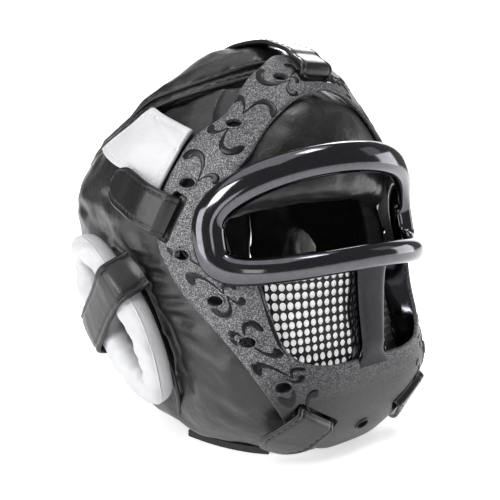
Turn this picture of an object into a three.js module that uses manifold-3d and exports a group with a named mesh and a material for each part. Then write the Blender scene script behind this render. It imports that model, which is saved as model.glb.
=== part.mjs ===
// Karate headgear: a padded head guard with a moulded face mask strapped on its front.
// Millimetres, +Z up, the face looks along -Y and the wearer's right side is -X.
// Most forms lie on one of two surfaces, the outside of the padded guard and the outside of the
// mask. Both are stacks of level sections, read at an angle from the front and at a height.
import * as THREE from 'three';
import { mergeVertices } from 'three/addons/utils/BufferGeometryUtils.js';
import Module from 'manifold-3d';

const wasm = await Module();
wasm.setup();

// Driving dimensions
const SECTION_CENTRE_Y = 10;
const DEPTH_CENTRE = 8.8;
const PAD_THICKNESS = 16;
const PAD_EDGE_RADIUS = 7;
const NORMAL_STEP = 0.05;
const RIGHT = 1;
const LEFT = -1;
const SIDES = [{ word: 'right', side: RIGHT }, { word: 'left', side: LEFT }];

// Level sections of the mask: a superellipse with its front reach, half width and squareness.
const MASK_SECTIONS = [
  { z: 0, front: -80, half: 58, square: 2.6 },
  { z: 20, front: -95, half: 72, square: 3.2 },
  { z: 45, front: -102, half: 82, square: 3.8 },
  { z: 67, front: -100, half: 86, square: 3.2 },
  { z: 90, front: -98, half: 89, square: 2.6 },
  { z: 118, front: -97, half: 94, square: 2.2 },
  { z: 145, front: -92, half: 95, square: 2.0 },
  { z: 172, front: -84, half: 88, square: 2.0 },
  { z: 187, front: -76, half: 78, square: 2.0 },
  { z: 200, front: -67, half: 70, square: 2.0 },
  { z: 213, front: -58, half: 61, square: 2.0 },
  { z: 232, front: -42, half: 48, square: 2.0 },
];

// Level sections of the padded guard, which also has a reach and a squareness at the back.
const GUARD_SECTIONS = [
  { z: 0, front: -74, half: 57, back: 60, square: 2.3, backSquare: 2.35 },
  { z: 20, front: -89, half: 68, back: 78, square: 2.8, backSquare: 2.35 },
  { z: 45, front: -95, half: 78, back: 95, square: 3.2, backSquare: 2.35 },
  { z: 67, front: -93, half: 82, back: 106, square: 2.9, backSquare: 2.35 },
  { z: 90, front: -91, half: 85, back: 115, square: 2.5, backSquare: 2.35 },
  { z: 118, front: -88, half: 90, back: 122, square: 2.2, backSquare: 2.35 },
  { z: 145, front: -82, half: 91, back: 122, square: 2.0, backSquare: 2.35 },
  { z: 172, front: -73, half: 83.5, back: 103.5, square: 2.0, backSquare: 2.1 },
  { z: 187, front: -66, half: 74, back: 83.5, square: 2.0, backSquare: 1.9 },
  { z: 200, front: -57, half: 65.5, back: 65, square: 2.0, backSquare: 1.65 },
  { z: 213, front: -47, half: 46.5, back: 45.5, square: 2.0, backSquare: 1.6 },
  { z: 222, front: -36, half: 33, back: 32, square: 2.0, backSquare: 1.6 },
  { z: 228, front: -21, half: 19, back: 24, square: 2.0, backSquare: 1.6 },
  { z: 231, front: 4, half: 4, back: 12, square: 2.0, backSquare: 1.6 },
];

// The crown groove lies in a plane that falls towards the back.
const GROOVE = { height: 203, fall: 0.45, halfGap: 3, crownGap: 3, pipingRadius: 3.1, pipingDepth: 4.1 };
const APEX_HEIGHT = 231;

// Edges of the pads, as angles from the front and heights.
const SIDE_PAD = { rear: 125, flatBottom: 4.3, flatEnd: 84, riseTo: 16, ear: { long: 42, short: 12.5 } };
const SIDE_PAD_FRONT = [
  { up: 0.0, angle: 38 },
  { up: 0.25, angle: 46 },
  { up: 0.5, angle: 49 },
  { up: 0.7, angle: 50 },
  { up: 1.0, angle: 48 },
];
const FOREHEAD_PAD = { half: 47.4, browHeight: 146, browFall: 0.0045 };
const BACK_PAD = { front: 125.6, napeStart: 158, earHeight: 16, thickness: 14 };
const CHIN_PAD = { top: 36, thickness: 18, behind: 2, seam: 0.9 };

// The band of the mask, from the top round to the chin: its outer edge and its inner edge.
const FACE_BAND = [
  { outerAngle: 0, outerZ: 226, innerAngle: 0, innerZ: 206 },
  { outerAngle: 20, outerZ: 225, innerAngle: 11, innerZ: 203.5 },
  { outerAngle: 32, outerZ: 218, innerAngle: 20, innerZ: 199 },
  { outerAngle: 41, outerZ: 210, innerAngle: 28, innerZ: 192 },
  { outerAngle: 49, outerZ: 193, innerAngle: 34.5, innerZ: 183 },
  { outerAngle: 59, outerZ: 181, innerAngle: 39, innerZ: 171 },
  { outerAngle: 63.5, outerZ: 168, innerAngle: 46, innerZ: 157 },
  { outerAngle: 67, outerZ: 155, innerAngle: 51, innerZ: 147 },
  { outerAngle: 71, outerZ: 136, innerAngle: 53, innerZ: 133 },
  { outerAngle: 72, outerZ: 120, innerAngle: 51, innerZ: 118 },
  { outerAngle: 70.5, outerZ: 109, innerAngle: 45, innerZ: 111 },
  { outerAngle: 67, outerZ: 95, innerAngle: 39, innerZ: 102 },
  { outerAngle: 59, outerZ: 79.5, innerAngle: 34, innerZ: 80 },
  { outerAngle: 52.8, outerZ: 68.7, innerAngle: 29, innerZ: 69 },
  { outerAngle: 46.3, outerZ: 56.4, innerAngle: 21, innerZ: 63 },
  { outerAngle: 38.3, outerZ: 41.3, innerAngle: 12, innerZ: 60.5 },
  { outerAngle: 27, outerZ: 17, innerAngle: 6, innerZ: 60 },
  { outerAngle: 14, outerZ: 6.5, innerAngle: 3, innerZ: 60 },
  { outerAngle: 0, outerZ: 5, innerAngle: 0, innerZ: 60 },
];
const MASK = { thickness: 3, stations: 56, across: 3 };

// The eye rim is a thick rounded loop, lower at its ends than in the middle.
const EYE_RIM = {
  height: 141.5, sag: 0.0045, halfAngle: 54.5, halfHeight: 26, square: 3.6,
  halfTall: 7.2, halfDeep: 6.2, stand: 3.4, stations: 38, sides: 8,
};

// The centre bar joins the rim to the chin between the two mouth windows.
const CENTRE_BAR = { top: 113, bottom: 57, topHalf: 11.5, bottomHalf: 8.5, front: 3.2, depth: 7.8 };

// Each mouth window has a flange that runs inwards from its edge.
const WINDOW_FLANGE = { wall: 3, depth: 5.4, stations: 20 };
const WINDOW_EDGE = [
  { angle: 1.5, z: 60.4 },
  { angle: 12, z: 60.4 },
  { angle: 21, z: 63 },
  { angle: 29, z: 69 },
  { angle: 34, z: 80 },
  { angle: 39, z: 102 },
  { angle: 38, z: 108 },
  { angle: 22, z: 110 },
  { angle: 5.4, z: 111 },
  { angle: 3, z: 85 },
];

const VENTS = [
  { angle: 23.8, z: 211.6 },
  { angle: 46, z: 186.3 },
  { angle: 59.5, z: 155.2 },
  { angle: 63.7, z: 117.6 },
  { angle: 55.6, z: 94.6 },
  { angle: 46, z: 74.6 },
  { angle: 32.5, z: 52.3 },
];
const CHIN_VENT = { angle: 0, z: 19 };
const VENT = { halfLong: 4.4, halfTall: 2.7, sides: 6, drill: 16 };

// Straps, and the slots that they come out of.
const STRAP = { thickness: 2.6, steps: 10 };
const SLOT = { extraLength: 4, opening: 10, ahead: 2.5, drill: 22 };
const TOP_STRAP = {
  angle: 0, z: 215.5, width: 25, endY: 28, endDrop: 3.6, tuck: 6,
};
const TEMPLE_STRAP = {
  lies: GUARD_SECTIONS, from: { angle: 64.5, z: 136 }, to: { angle: 90.5, z: 155 }, width: 24,
  tuck: 0.8, overBand: 5.7, onPanel: 3, bandEnd: 73, landing: 82,
};
const CHIN_STRAP = {
  lies: MASK_SECTIONS, from: { angle: 16.5, z: 33.2 }, to: { angle: 41.5, z: 11.5 }, width: 29,
  tuck: -3.4, overBand: -0.15,
};

const EAR = {
  y: 9.8, z: 79, tilt: 35.3, halfLong: 45.5, halfShort: 16.3, tubeWide: 7, tubeTall: 8, lift: 0.6,
  stations: 22, sides: 8,
};

// The ear strap's way over its ring: shares of the ring's half width, and heights on the guard.
// It slants down towards the back by its slant at each share.
const EAR_STRAP = { along: 12.5, width: 24, thickness: 2.4, lift: 0.3, slant: 6 };
const EAR_STRAP_WAY = [
  { share: -1.3, height: 0.7 },
  { share: -1.18, height: 4.4 },
  { share: -1.08, height: 10.6 },
  { share: -0.97, height: 15.4 },
  { share: -0.8, height: 17.2 },
  { share: -0.4, height: 17.4 },
  { share: 0.4, height: 17.4 },
  { share: 0.8, height: 17.2 },
  { share: 0.95, height: 15.6 },
  { share: 1.06, height: 11.4 },
  { share: 1.12, height: 7 },
  { share: 1.13, height: 4 },
];

// White panel sewn on the upper side, by its four corners.
const PANEL = {
  thickness: 1.6, above: 0.9,
  frontTop: { angle: 60, z: 182 }, rearTop: { angle: 86, z: 196 },
  frontBottom: { angle: 69.5, z: 150 }, rearBottom: { angle: 108, z: 171 },
};

const NECK_BINDING = { height: 4, outer: -1.5, inner: -13, front: 39.5, rear: 83 };

// The pierced screen behind the mouth windows, and the white sheet behind it.
const SCREEN = { half: 41, bottom: 57.5, top: 112, outer: -7.2, thickness: 1.2, columns: 10 };
const HOLES = { pitch: 9, radius: 3.1, columns: 5, rows: 5, firstX: 17.5, firstZ: 67, sides: 6 };
const HOLE_MARGIN = 1.5;
const BACKING = { outer: -9.1, thickness: 0.9 };

const COLOURS = {
  leather: { color: 0x2a2b2d, roughness: 0.45, metalness: 0 },
  whiteLeather: { color: 0xeeeeee, roughness: 0.55, metalness: 0 },
  moulded: { color: 0x4a4b50, roughness: 0.35, metalness: 0 },
  screen: { color: 0x101012, roughness: 0.6, metalness: 0 },
  trim: { color: 0x18181a, roughness: 0.8, metalness: 0 },
};

// Smooth reading of a table: cubic pieces whose slope at a row follows its two neighbours.
function readTable(rows, key, at, column) {
  const last = rows.length - 1;
  let low = 0;
  while (low < last - 1 && rows[low + 1][key] < at) low += 1;
  const slope = (row) => {
    const before = rows[Math.max(row - 1, 0)];
    const after = rows[Math.min(row + 1, last)];
    return (after[column] - before[column]) / (after[key] - before[key]);
  };
  const span = rows[low + 1][key] - rows[low][key];
  const t = THREE.MathUtils.clamp((at - rows[low][key]) / span, 0, 1);
  const a = rows[low][column];
  const b = rows[low + 1][column];
  const hermite = (2 * t ** 3 - 3 * t ** 2 + 1) * a + (3 * t ** 2 - 2 * t ** 3) * b;
  return hermite + span * ((t ** 3 - 2 * t ** 2 + t) * slope(low) + (t ** 3 - t ** 2) * slope(low + 1));
}

const lerp = THREE.MathUtils.lerp;
const radians = THREE.MathUtils.degToRad;
const signedPower = (value, power) => Math.sign(value) * Math.abs(value) ** power;
const easeInOut = (t) => THREE.MathUtils.smoothstep(t, 0, 1);

// A point of a section table at an angle from the front (right is positive) and a height.
function sectionPoint(table, angle, z) {
  const sine = Math.sin(radians(angle));
  const cosine = Math.cos(radians(angle));
  const power = 2 / readTable(table, 'z', z, cosine > 0 ? 'square' : 'backSquare');
  const reach = readTable(table, 'z', z, cosine > 0 ? 'front' : 'back') - SECTION_CENTRE_Y;
  const half = readTable(table, 'z', z, 'half');
  return new THREE.Vector3(
    -half * signedPower(sine, power),
    SECTION_CENTRE_Y + reach * Math.abs(cosine) ** power,
    z,
  );
}

// Axes on a surface: along (towards larger angles), up and out.
function surfaceFrame(table, angle, z) {
  const origin = sectionPoint(table, angle, z);
  const along = sectionPoint(table, angle + NORMAL_STEP, z);
  along.sub(sectionPoint(table, angle - NORMAL_STEP, z)).normalize();
  const up = sectionPoint(table, angle, z + NORMAL_STEP);
  up.sub(sectionPoint(table, angle, z - NORMAL_STEP)).normalize();
  const out = new THREE.Vector3().crossVectors(up, along).normalize();
  up.crossVectors(along, out);
  return { origin, along, up, out };
}

function surfacePoint(table, angle, z, offset) {
  const { origin, out } = surfaceFrame(table, angle, z);
  return origin.addScaledVector(out, offset);
}

const maskPoint = (angle, z, offset) => surfacePoint(MASK_SECTIONS, angle, z, offset);
const guardPoint = (angle, z, offset) => surfacePoint(GUARD_SECTIONS, angle, z, offset);

// Height of the crown groove at an angle, where its plane meets the guard.
function grooveHeight(angle) {
  let z = GROOVE.height;
  for (let pass = 0; pass < 12; pass += 1) {
    z = GROOVE.height - GROOVE.fall * sectionPoint(GUARD_SECTIONS, angle, z).y;
  }
  return z;
}

// One vertex for every corner, where a stock geometry has several.
function weld(stock) {
  stock.deleteAttribute('normal');
  stock.deleteAttribute('uv');
  return mergeVertices(stock, 1e-4);
}

// Faces turned outwards, where a mirrored shape has turned them in.
function faceOutwards(solid) {
  const point = [new THREE.Vector3(), new THREE.Vector3(), new THREE.Vector3()];
  const index = solid.index.array;
  const kept = [];
  let volume = 0;
  for (let i = 0; i < index.length; i += 3) {
    const corners = [index[i], index[i + 1], index[i + 2]];
    if (new Set(corners).size < 3) continue;
    corners.forEach((corner, k) => point[k].fromBufferAttribute(solid.attributes.position, corner));
    volume += point[0].dot(new THREE.Vector3().crossVectors(point[1], point[2]));
    kept.push(corners);
  }
  if (volume < 0) kept.forEach((corners) => corners.reverse());
  solid.setIndex(kept.flat());
  return solid;
}

function moveVertices(stock, place) {
  const position = stock.attributes.position;
  for (let i = 0; i < position.count; i += 1) {
    const p = place(position.getX(i), position.getY(i), position.getZ(i), i);
    position.setXYZ(i, p.x, p.y, p.z);
  }
  return faceOutwards(weld(stock));
}

// A slab bent to shape: place(u, v, w) with each parameter from 0 to 1.
function bentSlab(countU, countV, place) {
  const stock = new THREE.BoxGeometry(1, 1, 1, countU, countV, 1);
  return moveVertices(stock, (x, y, z) => place(x + 0.5, y + 0.5, z + 0.5));
}

// A closed ring: place(t, s) runs round the ring with t and round its section with s.
function bentRing(stations, sides, place) {
  const stock = new THREE.TorusGeometry(2, 1, sides, stations);
  return moveVertices(stock, (x, y, z, i) => {
    const row = Math.floor(i / (stations + 1));
    const column = i % (stations + 1);
    return place((column % stations) / stations, (row % sides) / sides);
  });
}

const toManifold = (geometry) => new wasm.Manifold(new wasm.Mesh({
  numProp: 3,
  vertProperties: new Float32Array(geometry.attributes.position.array),
  triVerts: new Uint32Array(geometry.index.array),
}));

function fromManifold(solid) {
  const mesh = solid.getMesh();
  const geometry = new THREE.BufferGeometry();
  geometry.setAttribute('position', new THREE.BufferAttribute(mesh.vertProperties, 3));
  geometry.setIndex(new THREE.BufferAttribute(mesh.triVerts, 1));
  return geometry;
}

const join = (pieces) => pieces.map(toManifold).reduce((whole, piece) => whole.add(piece));
const cut = (whole, tools) => tools.map(toManifold).reduce((rest, tool) => rest.subtract(tool), whole);

const headgear = new THREE.Group();
function addPiece(name, geometry, finish) {
  const mesh = new THREE.Mesh(geometry, new THREE.MeshStandardMaterial(finish));
  mesh.name = name;
  headgear.add(mesh);
}

// How far a padded face has dropped at a distance from the pad's edge.
function edgeDrop(distance) {
  const inside = Math.max(PAD_EDGE_RADIUS - distance, 0);
  return PAD_EDGE_RADIUS - Math.sqrt(PAD_EDGE_RADIUS ** 2 - Math.min(inside, PAD_EDGE_RADIUS) ** 2);
}

// Stations that crowd towards both edges of a pad, so its round edges keep their form.
const crowd = (t) => 0.5 - 0.5 * Math.cos(Math.PI * t);

// A pad is a wall between four edges, puffed in the middle and drawn in at its seams.
function padSolid(shape, countU, countV) {
  const flatDepth = shape.flatDepth ?? 0;
  return bentSlab(countU, countV, (u, v, w) => {
    const share = crowd(v);
    const angle = lerp(shape.front(share), shape.rear(share), crowd(u));
    const low = shape.low(angle);
    const high = shape.high(angle);
    const z = lerp(low, high, share);
    const radius = Math.abs(sectionPoint(GUARD_SECTIONS, angle, z).x) + PAD_THICKNESS;
    const sideGap = Math.min(crowd(u), 1 - crowd(u))
      * radians(Math.abs(shape.rear(share) - shape.front(share))) * radius;
    const topGap = high - z;
    const bottomGap = low <= SIDE_PAD.flatBottom ? PAD_EDGE_RADIUS : z - low;
    const drop = edgeDrop(Math.min(sideGap, topGap, bottomGap));
    const offset = lerp(-shape.thickness, -drop, w) - flatDepth;
    const p = guardPoint(angle, z, offset);
    p.z = v === 0 && low <= SIDE_PAD.flatBottom ? low : p.z;
    return p;
  });
}

const sidePadLow = (angle) => {
  const t = Math.max(Math.abs(angle) - SIDE_PAD.flatEnd, 0) / (SIDE_PAD.rear - SIDE_PAD.flatEnd);
  return lerp(SIDE_PAD.flatBottom, SIDE_PAD.riseTo, t);
};
const padTop = (angle) => grooveHeight(angle) - GROOVE.halfGap;

// Ear axes: a point at a distance along the long and the short axis of the ear, on the guard.
function earPoint(side, along, across, offset) {
  const tilt = radians(EAR.tilt);
  const y = EAR.y + along * Math.sin(tilt) + across * Math.cos(tilt);
  const z = EAR.z + along * Math.cos(tilt) - across * Math.sin(tilt);
  const ahead = y < SECTION_CENTRE_Y;
  const reach = readTable(GUARD_SECTIONS, 'z', z, ahead ? 'front' : 'back') - SECTION_CENTRE_Y;
  const square = readTable(GUARD_SECTIONS, 'z', z, ahead ? 'square' : 'backSquare');
  const cosine = ((y - SECTION_CENTRE_Y) / reach) ** (square / 2);
  const fromFront = THREE.MathUtils.radToDeg(Math.acos(cosine));
  return guardPoint(side * (ahead ? fromFront : 180 - fromFront), z, offset);
}

// Padded guard
for (const { word, side } of SIDES) {
  const pad = padSolid({
    front: (share) => side * readTable(SIDE_PAD_FRONT, 'up', share, 'angle'),
    rear: () => side * SIDE_PAD.rear,
    low: sidePadLow,
    high: padTop,
    thickness: PAD_THICKNESS,
  }, 12, 12);
  const drill = weld(new THREE.CylinderGeometry(1, 1, 120, 20));
  drill.rotateZ(Math.PI / 2);
  drill.scale(1, SIDE_PAD.ear.long, SIDE_PAD.ear.short);
  drill.rotateX(radians(90 - EAR.tilt));
  drill.translate(-side * 90, EAR.y, EAR.z);
  const drilled = cut(toManifold(pad), [faceOutwards(drill)]);
  addPiece(`side_pad_${word}`, fromManifold(drilled), COLOURS.leather);
}

addPiece('forehead_pad', padSolid({
  front: () => -FOREHEAD_PAD.half,
  rear: () => FOREHEAD_PAD.half,
  low: (angle) => FOREHEAD_PAD.browHeight - FOREHEAD_PAD.browFall * angle ** 2,
  high: padTop,
  thickness: PAD_THICKNESS,
}, 12, 5), COLOURS.leather);

const napeLow = (angle) => {
  const fromBack = Math.abs(180 - angle);
  const t = (fromBack - (180 - BACK_PAD.napeStart)) / (BACK_PAD.napeStart - BACK_PAD.front);
  return BACK_PAD.earHeight * easeInOut(Math.max(t, 0));
};
addPiece('back_pad', padSolid({
  front: () => BACK_PAD.front,
  rear: () => 360 - BACK_PAD.front,
  low: napeLow,
  high: padTop,
  thickness: BACK_PAD.thickness,
}, 16, 9), COLOURS.leather);

// The chin pad runs up to the front edges of the side pads.
const chinPadEdge = (share) => {
  const up = (share * CHIN_PAD.top - SIDE_PAD.flatBottom) / (padTop(SIDE_PAD.flatEnd) - SIDE_PAD.flatBottom);
  return readTable(SIDE_PAD_FRONT, 'up', Math.max(up, 0), 'angle') - CHIN_PAD.seam;
};
addPiece('chin_pad', padSolid({
  front: (share) => -chinPadEdge(share),
  rear: chinPadEdge,
  low: () => 0,
  high: () => CHIN_PAD.top,
  thickness: CHIN_PAD.thickness,
  flatDepth: CHIN_PAD.behind,
}, 8, 4), COLOURS.leather);

// The crown is a dome: the upper half of a sphere's rows is its outside, the lower its inside.
const CROWN_COLUMNS = 26;
const CROWN_ROWS = 12;
const crownStock = new THREE.SphereGeometry(1, CROWN_COLUMNS, CROWN_ROWS);
addPiece('crown_pad', moveVertices(crownStock, (x, y, z, i) => {
  const row = Math.floor(i / (CROWN_COLUMNS + 1));
  const column = (i % (CROWN_COLUMNS + 1)) % CROWN_COLUMNS;
  const angle = (column / CROWN_COLUMNS) * 360;
  const outside = row <= CROWN_ROWS / 2;
  const fromEdge = Math.abs(row - CROWN_ROWS / 2) / (CROWN_ROWS / 2) - (outside ? 0 : 1 / CROWN_ROWS);
  const share = 1 - (1 - Math.max(fromEdge, 0)) ** 2;
  const low = grooveHeight(angle) + GROOVE.crownGap;
  const height = Math.min(lerp(low, APEX_HEIGHT, share), APEX_HEIGHT);
  const drop = edgeDrop((height - low) * 1.6);
  if (row === 0 || row === CROWN_ROWS) {
    return new THREE.Vector3(0, SECTION_CENTRE_Y, APEX_HEIGHT - (outside ? 0 : PAD_THICKNESS));
  }
  return guardPoint(angle, height, outside ? -drop : -PAD_THICKNESS);
}), COLOURS.leather);

// Piping in the crown groove
addPiece('crown_piping', bentRing(36, 5, (t, s) => {
  const angle = t * 360;
  const frame = surfaceFrame(GUARD_SECTIONS, angle, grooveHeight(angle));
  const turn = s * 2 * Math.PI;
  const offset = GROOVE.pipingRadius * Math.cos(turn) - GROOVE.pipingDepth;
  frame.origin.addScaledVector(frame.out, offset);
  return frame.origin.addScaledVector(frame.up, GROOVE.pipingRadius * Math.sin(turn));
}), COLOURS.leather);

// White panels, on the faces of the side pads
for (const { word, side } of SIDES) {
  addPiece(`white_panel_${word}`, bentSlab(8, 4, (u, v, w) => {
    const angle = lerp(
      lerp(PANEL.frontBottom.angle, PANEL.rearBottom.angle, u),
      lerp(PANEL.frontTop.angle, PANEL.rearTop.angle, u),
      v,
    );
    const z = lerp(
      lerp(PANEL.frontBottom.z, PANEL.rearBottom.z, u),
      lerp(PANEL.frontTop.z, PANEL.rearTop.z, u),
      v,
    );
    const drop = edgeDrop(padTop(angle) - z);
    return guardPoint(side * angle, z, PANEL.above - drop * 0.8 + w * PANEL.thickness);
  }), COLOURS.whiteLeather);
}

// Ear rings and the straps across them
for (const { word, side } of SIDES) {
  addPiece(`ear_ring_${word}`, bentRing(EAR.stations, EAR.sides, (t, s) => {
    const round = t * 2 * Math.PI;
    const turn = s * 2 * Math.PI;
    const grow = EAR.tubeWide * Math.cos(turn);
    return earPoint(
      side,
      (EAR.halfLong + grow) * Math.cos(round),
      (EAR.halfShort + grow) * Math.sin(round),
      EAR.lift + EAR.tubeTall * (1 + Math.sin(turn)),
    );
  }), COLOURS.whiteLeather);

  addPiece(`ear_strap_${word}`, bentSlab(EAR_STRAP_WAY.length - 1, 1, (u, v, w) => {
    const { share, height } = EAR_STRAP_WAY[Math.round(u * (EAR_STRAP_WAY.length - 1))];
    const along = EAR_STRAP.along + (v - 0.5) * EAR_STRAP.width - EAR_STRAP.slant * (share + 1);
    const halfWidth = EAR.halfShort + EAR.tubeWide;
    const across = halfWidth * Math.sqrt(1 - (along / (EAR.halfLong + EAR.tubeWide)) ** 2);
    const outwards = 1 + (w * EAR_STRAP.thickness) / halfWidth;
    return earPoint(side, along, share * across * outwards, height + EAR_STRAP.lift + w * EAR_STRAP.thickness);
  }), COLOURS.leather);
}

// Face mask

// The band's rows as a closed loop: down the right side and back up the left.
const halfLoop = FACE_BAND.map((row, i) => ({ ...row, i }));
const bandLoop = [
  ...halfLoop,
  ...halfLoop.slice(1, -1).reverse().map((row) => (
    { ...row, outerAngle: -row.outerAngle, innerAngle: -row.innerAngle })),
];
const loopCurve = (angleKey, zKey) => new THREE.CatmullRomCurve3(
  bandLoop.map((row) => new THREE.Vector3(row[angleKey], row[zKey], 0)), true, 'catmullrom', 0.5,
);
const bandOuter = loopCurve('outerAngle', 'outerZ');
const bandInner = loopCurve('innerAngle', 'innerZ');
const bandSides = 2 * MASK.across + 2;
const band = bentRing(MASK.stations, bandSides, (t, s) => {
  const outer = bandOuter.getPoint(t);
  const inner = bandInner.getPoint(t);
  const step = Math.round(s * bandSides);
  const onFace = step <= MASK.across;
  const share = onFace ? step / MASK.across : (bandSides - 1 - step) / MASK.across;
  const angle = lerp(outer.x, inner.x, share);
  const z = lerp(outer.y, inner.y, share);
  return maskPoint(angle, z, onFace ? 0 : -MASK.thickness);
});

// A point of the eye rim's loop, and the rim as a rounded tube carried round it.
function rimStation(t) {
  const turn = t * 2 * Math.PI;
  const angle = EYE_RIM.halfAngle * signedPower(Math.cos(turn), 2 / EYE_RIM.square);
  const rise = EYE_RIM.halfHeight * signedPower(Math.sin(turn), 2 / EYE_RIM.square);
  return { angle, z: EYE_RIM.height - EYE_RIM.sag * angle ** 2 + rise };
}
const rim = bentRing(EYE_RIM.stations, EYE_RIM.sides, (t, s) => {
  const here = rimStation(t);
  const frame = surfaceFrame(MASK_SECTIONS, here.angle, here.z);
  const ahead = rimStation(t + 0.002);
  const behind = rimStation(t - 0.002);
  const path = sectionPoint(MASK_SECTIONS, ahead.angle, ahead.z);
  path.sub(sectionPoint(MASK_SECTIONS, behind.angle, behind.z)).normalize();
  const sideways = new THREE.Vector3().crossVectors(path, frame.out).normalize();
  const turn = (s + 0.5 / EYE_RIM.sides) * 2 * Math.PI;
  frame.origin.addScaledVector(frame.out, EYE_RIM.stand + EYE_RIM.halfDeep * Math.sin(turn));
  return frame.origin.addScaledVector(sideways, EYE_RIM.halfTall * Math.cos(turn));
});

const centreBar = bentSlab(2, 6, (u, v, w) => {
  const z = lerp(CENTRE_BAR.bottom, CENTRE_BAR.top, v);
  const half = lerp(CENTRE_BAR.bottomHalf, CENTRE_BAR.topHalf, v);
  const p = maskPoint(0, z, CENTRE_BAR.front - (1 - w) * CENTRE_BAR.depth);
  p.x = lerp(half, -half, u);
  return p;
});

// The flange of a mouth window: a thin wall along its edge, running inwards.
function windowFlange(side) {
  const rows = WINDOW_EDGE.map((row) => new THREE.Vector3(row.angle, row.z, 0));
  const edge = new THREE.CatmullRomCurve3(rows, true, 'catmullrom', 0.35);
  const middle = rows.reduce((sum, row) => sum.add(row), new THREE.Vector3()).divideScalar(rows.length);
  return bentRing(WINDOW_FLANGE.stations, 4, (t, s) => {
    const here = edge.getPoint(t);
    const corner = Math.round(s * 4);
    const outsideWall = corner === 0 || corner === 3;
    const p = maskPoint(side * here.x, here.y, corner < 2 ? -0.4 : -WINDOW_FLANGE.depth);
    if (!outsideWall) return p;
    const centre = maskPoint(side * middle.x, middle.y, corner < 2 ? -0.4 : -WINDOW_FLANGE.depth);
    return p.addScaledVector(p.clone().sub(centre).normalize(), WINDOW_FLANGE.wall);
  });
}

// A cutter set square on the mask, turned about its outward axis.
function setOnMask(tool, angle, z, turn) {
  const { origin, along, up, out } = surfaceFrame(MASK_SECTIONS, angle, z);
  const solid = weld(tool);
  solid.rotateZ(turn);
  solid.applyMatrix4(new THREE.Matrix4().makeBasis(along, up, out).setPosition(origin));
  return faceOutwards(solid);
}

function ventCutter(angle, z) {
  const tool = new THREE.CylinderGeometry(1, 1, VENT.drill, VENT.sides);
  tool.rotateX(Math.PI / 2);
  tool.scale(VENT.halfLong, VENT.halfTall, 1);
  return setOnMask(tool, angle, z, 0);
}

function slotCutter(angle, z, length, turn) {
  const tool = new THREE.BoxGeometry(length + SLOT.extraLength, SLOT.opening, SLOT.drill);
  tool.translate(0, SLOT.ahead - SLOT.opening / 2, 0);
  return setOnMask(tool, angle, z, turn);
}

// The turn of a strap about the outward axis of the surface that it lies on, at its slot.
function strapTurn(strap, side) {
  const { origin, along, up } = surfaceFrame(strap.lies, side * strap.from.angle, strap.from.z);
  const run = sectionPoint(strap.lies, side * strap.to.angle, strap.to.z).sub(origin);
  return Math.atan2(run.dot(up), run.dot(along));
}

const cutters = [
  ventCutter(CHIN_VENT.angle, CHIN_VENT.z),
  slotCutter(TOP_STRAP.angle, TOP_STRAP.z, TOP_STRAP.width, 0),
];
for (const { side } of SIDES) {
  VENTS.forEach((vent) => cutters.push(ventCutter(side * vent.angle, vent.z)));
  for (const strap of [TEMPLE_STRAP, CHIN_STRAP]) {
    const turn = strapTurn(strap, side) + Math.PI / 2;
    cutters.push(slotCutter(side * strap.from.angle, strap.from.z, strap.width, turn));
  }
}
const moulding = join([band, rim, centreBar, windowFlange(RIGHT), windowFlange(LEFT)]);
addPiece('face_mask', fromManifold(cut(moulding, cutters)), COLOURS.moulded);

// Screen and backing behind the mouth windows
function sheetBehindWindows(outer, thickness) {
  return bentSlab(SCREEN.columns, 1, (u, v, w) => maskPoint(
    lerp(-SCREEN.half, SCREEN.half, u),
    lerp(SCREEN.bottom, SCREEN.top, v),
    outer - (1 - w) * thickness,
  ));
}

// A hole is drilled only where it lies inside the edge of its window.
function insideWindow(x, z) {
  const edge = WINDOW_EDGE.map((row) => sectionPoint(MASK_SECTIONS, row.angle, row.z));
  const reach = HOLES.radius + HOLE_MARGIN;
  const beyond = edge.map((p) => ({ x: -p.x, z: p.z }));
  let inside = false;
  beyond.forEach((a, i) => {
    const b = beyond[(i + 1) % beyond.length];
    if ((a.z > z) !== (b.z > z) && x + reach < ((b.x - a.x) * (z - a.z)) / (b.z - a.z) + a.x) inside = !inside;
  });
  return inside;
}

const holeCutters = [];
for (let row = 0; row < HOLES.rows; row += 1) {
  for (let column = 0; column < HOLES.columns; column += 1) {
    const x = HOLES.firstX + column * HOLES.pitch;
    const z = HOLES.firstZ + row * HOLES.pitch;
    if (!insideWindow(x, z)) continue;
    for (const { side } of SIDES) {
      const square = readTable(MASK_SECTIONS, 'z', z, 'square');
      const share = (x / readTable(MASK_SECTIONS, 'z', z, 'half')) ** (square / 2);
      const angle = THREE.MathUtils.radToDeg(Math.asin(share));
      const tool = new THREE.CylinderGeometry(HOLES.radius, HOLES.radius, 8, HOLES.sides);
      tool.rotateX(Math.PI / 2);
      tool.translate(0, 0, SCREEN.outer);
      holeCutters.push(setOnMask(tool, side * angle, z, 0));
    }
  }
}
const screen = toManifold(sheetBehindWindows(SCREEN.outer, SCREEN.thickness));
addPiece('mouth_screen', fromManifold(cut(screen, holeCutters)), COLOURS.screen);
addPiece('screen_backing', sheetBehindWindows(BACKING.outer, BACKING.thickness), COLOURS.whiteLeather);

// Straps

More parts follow.
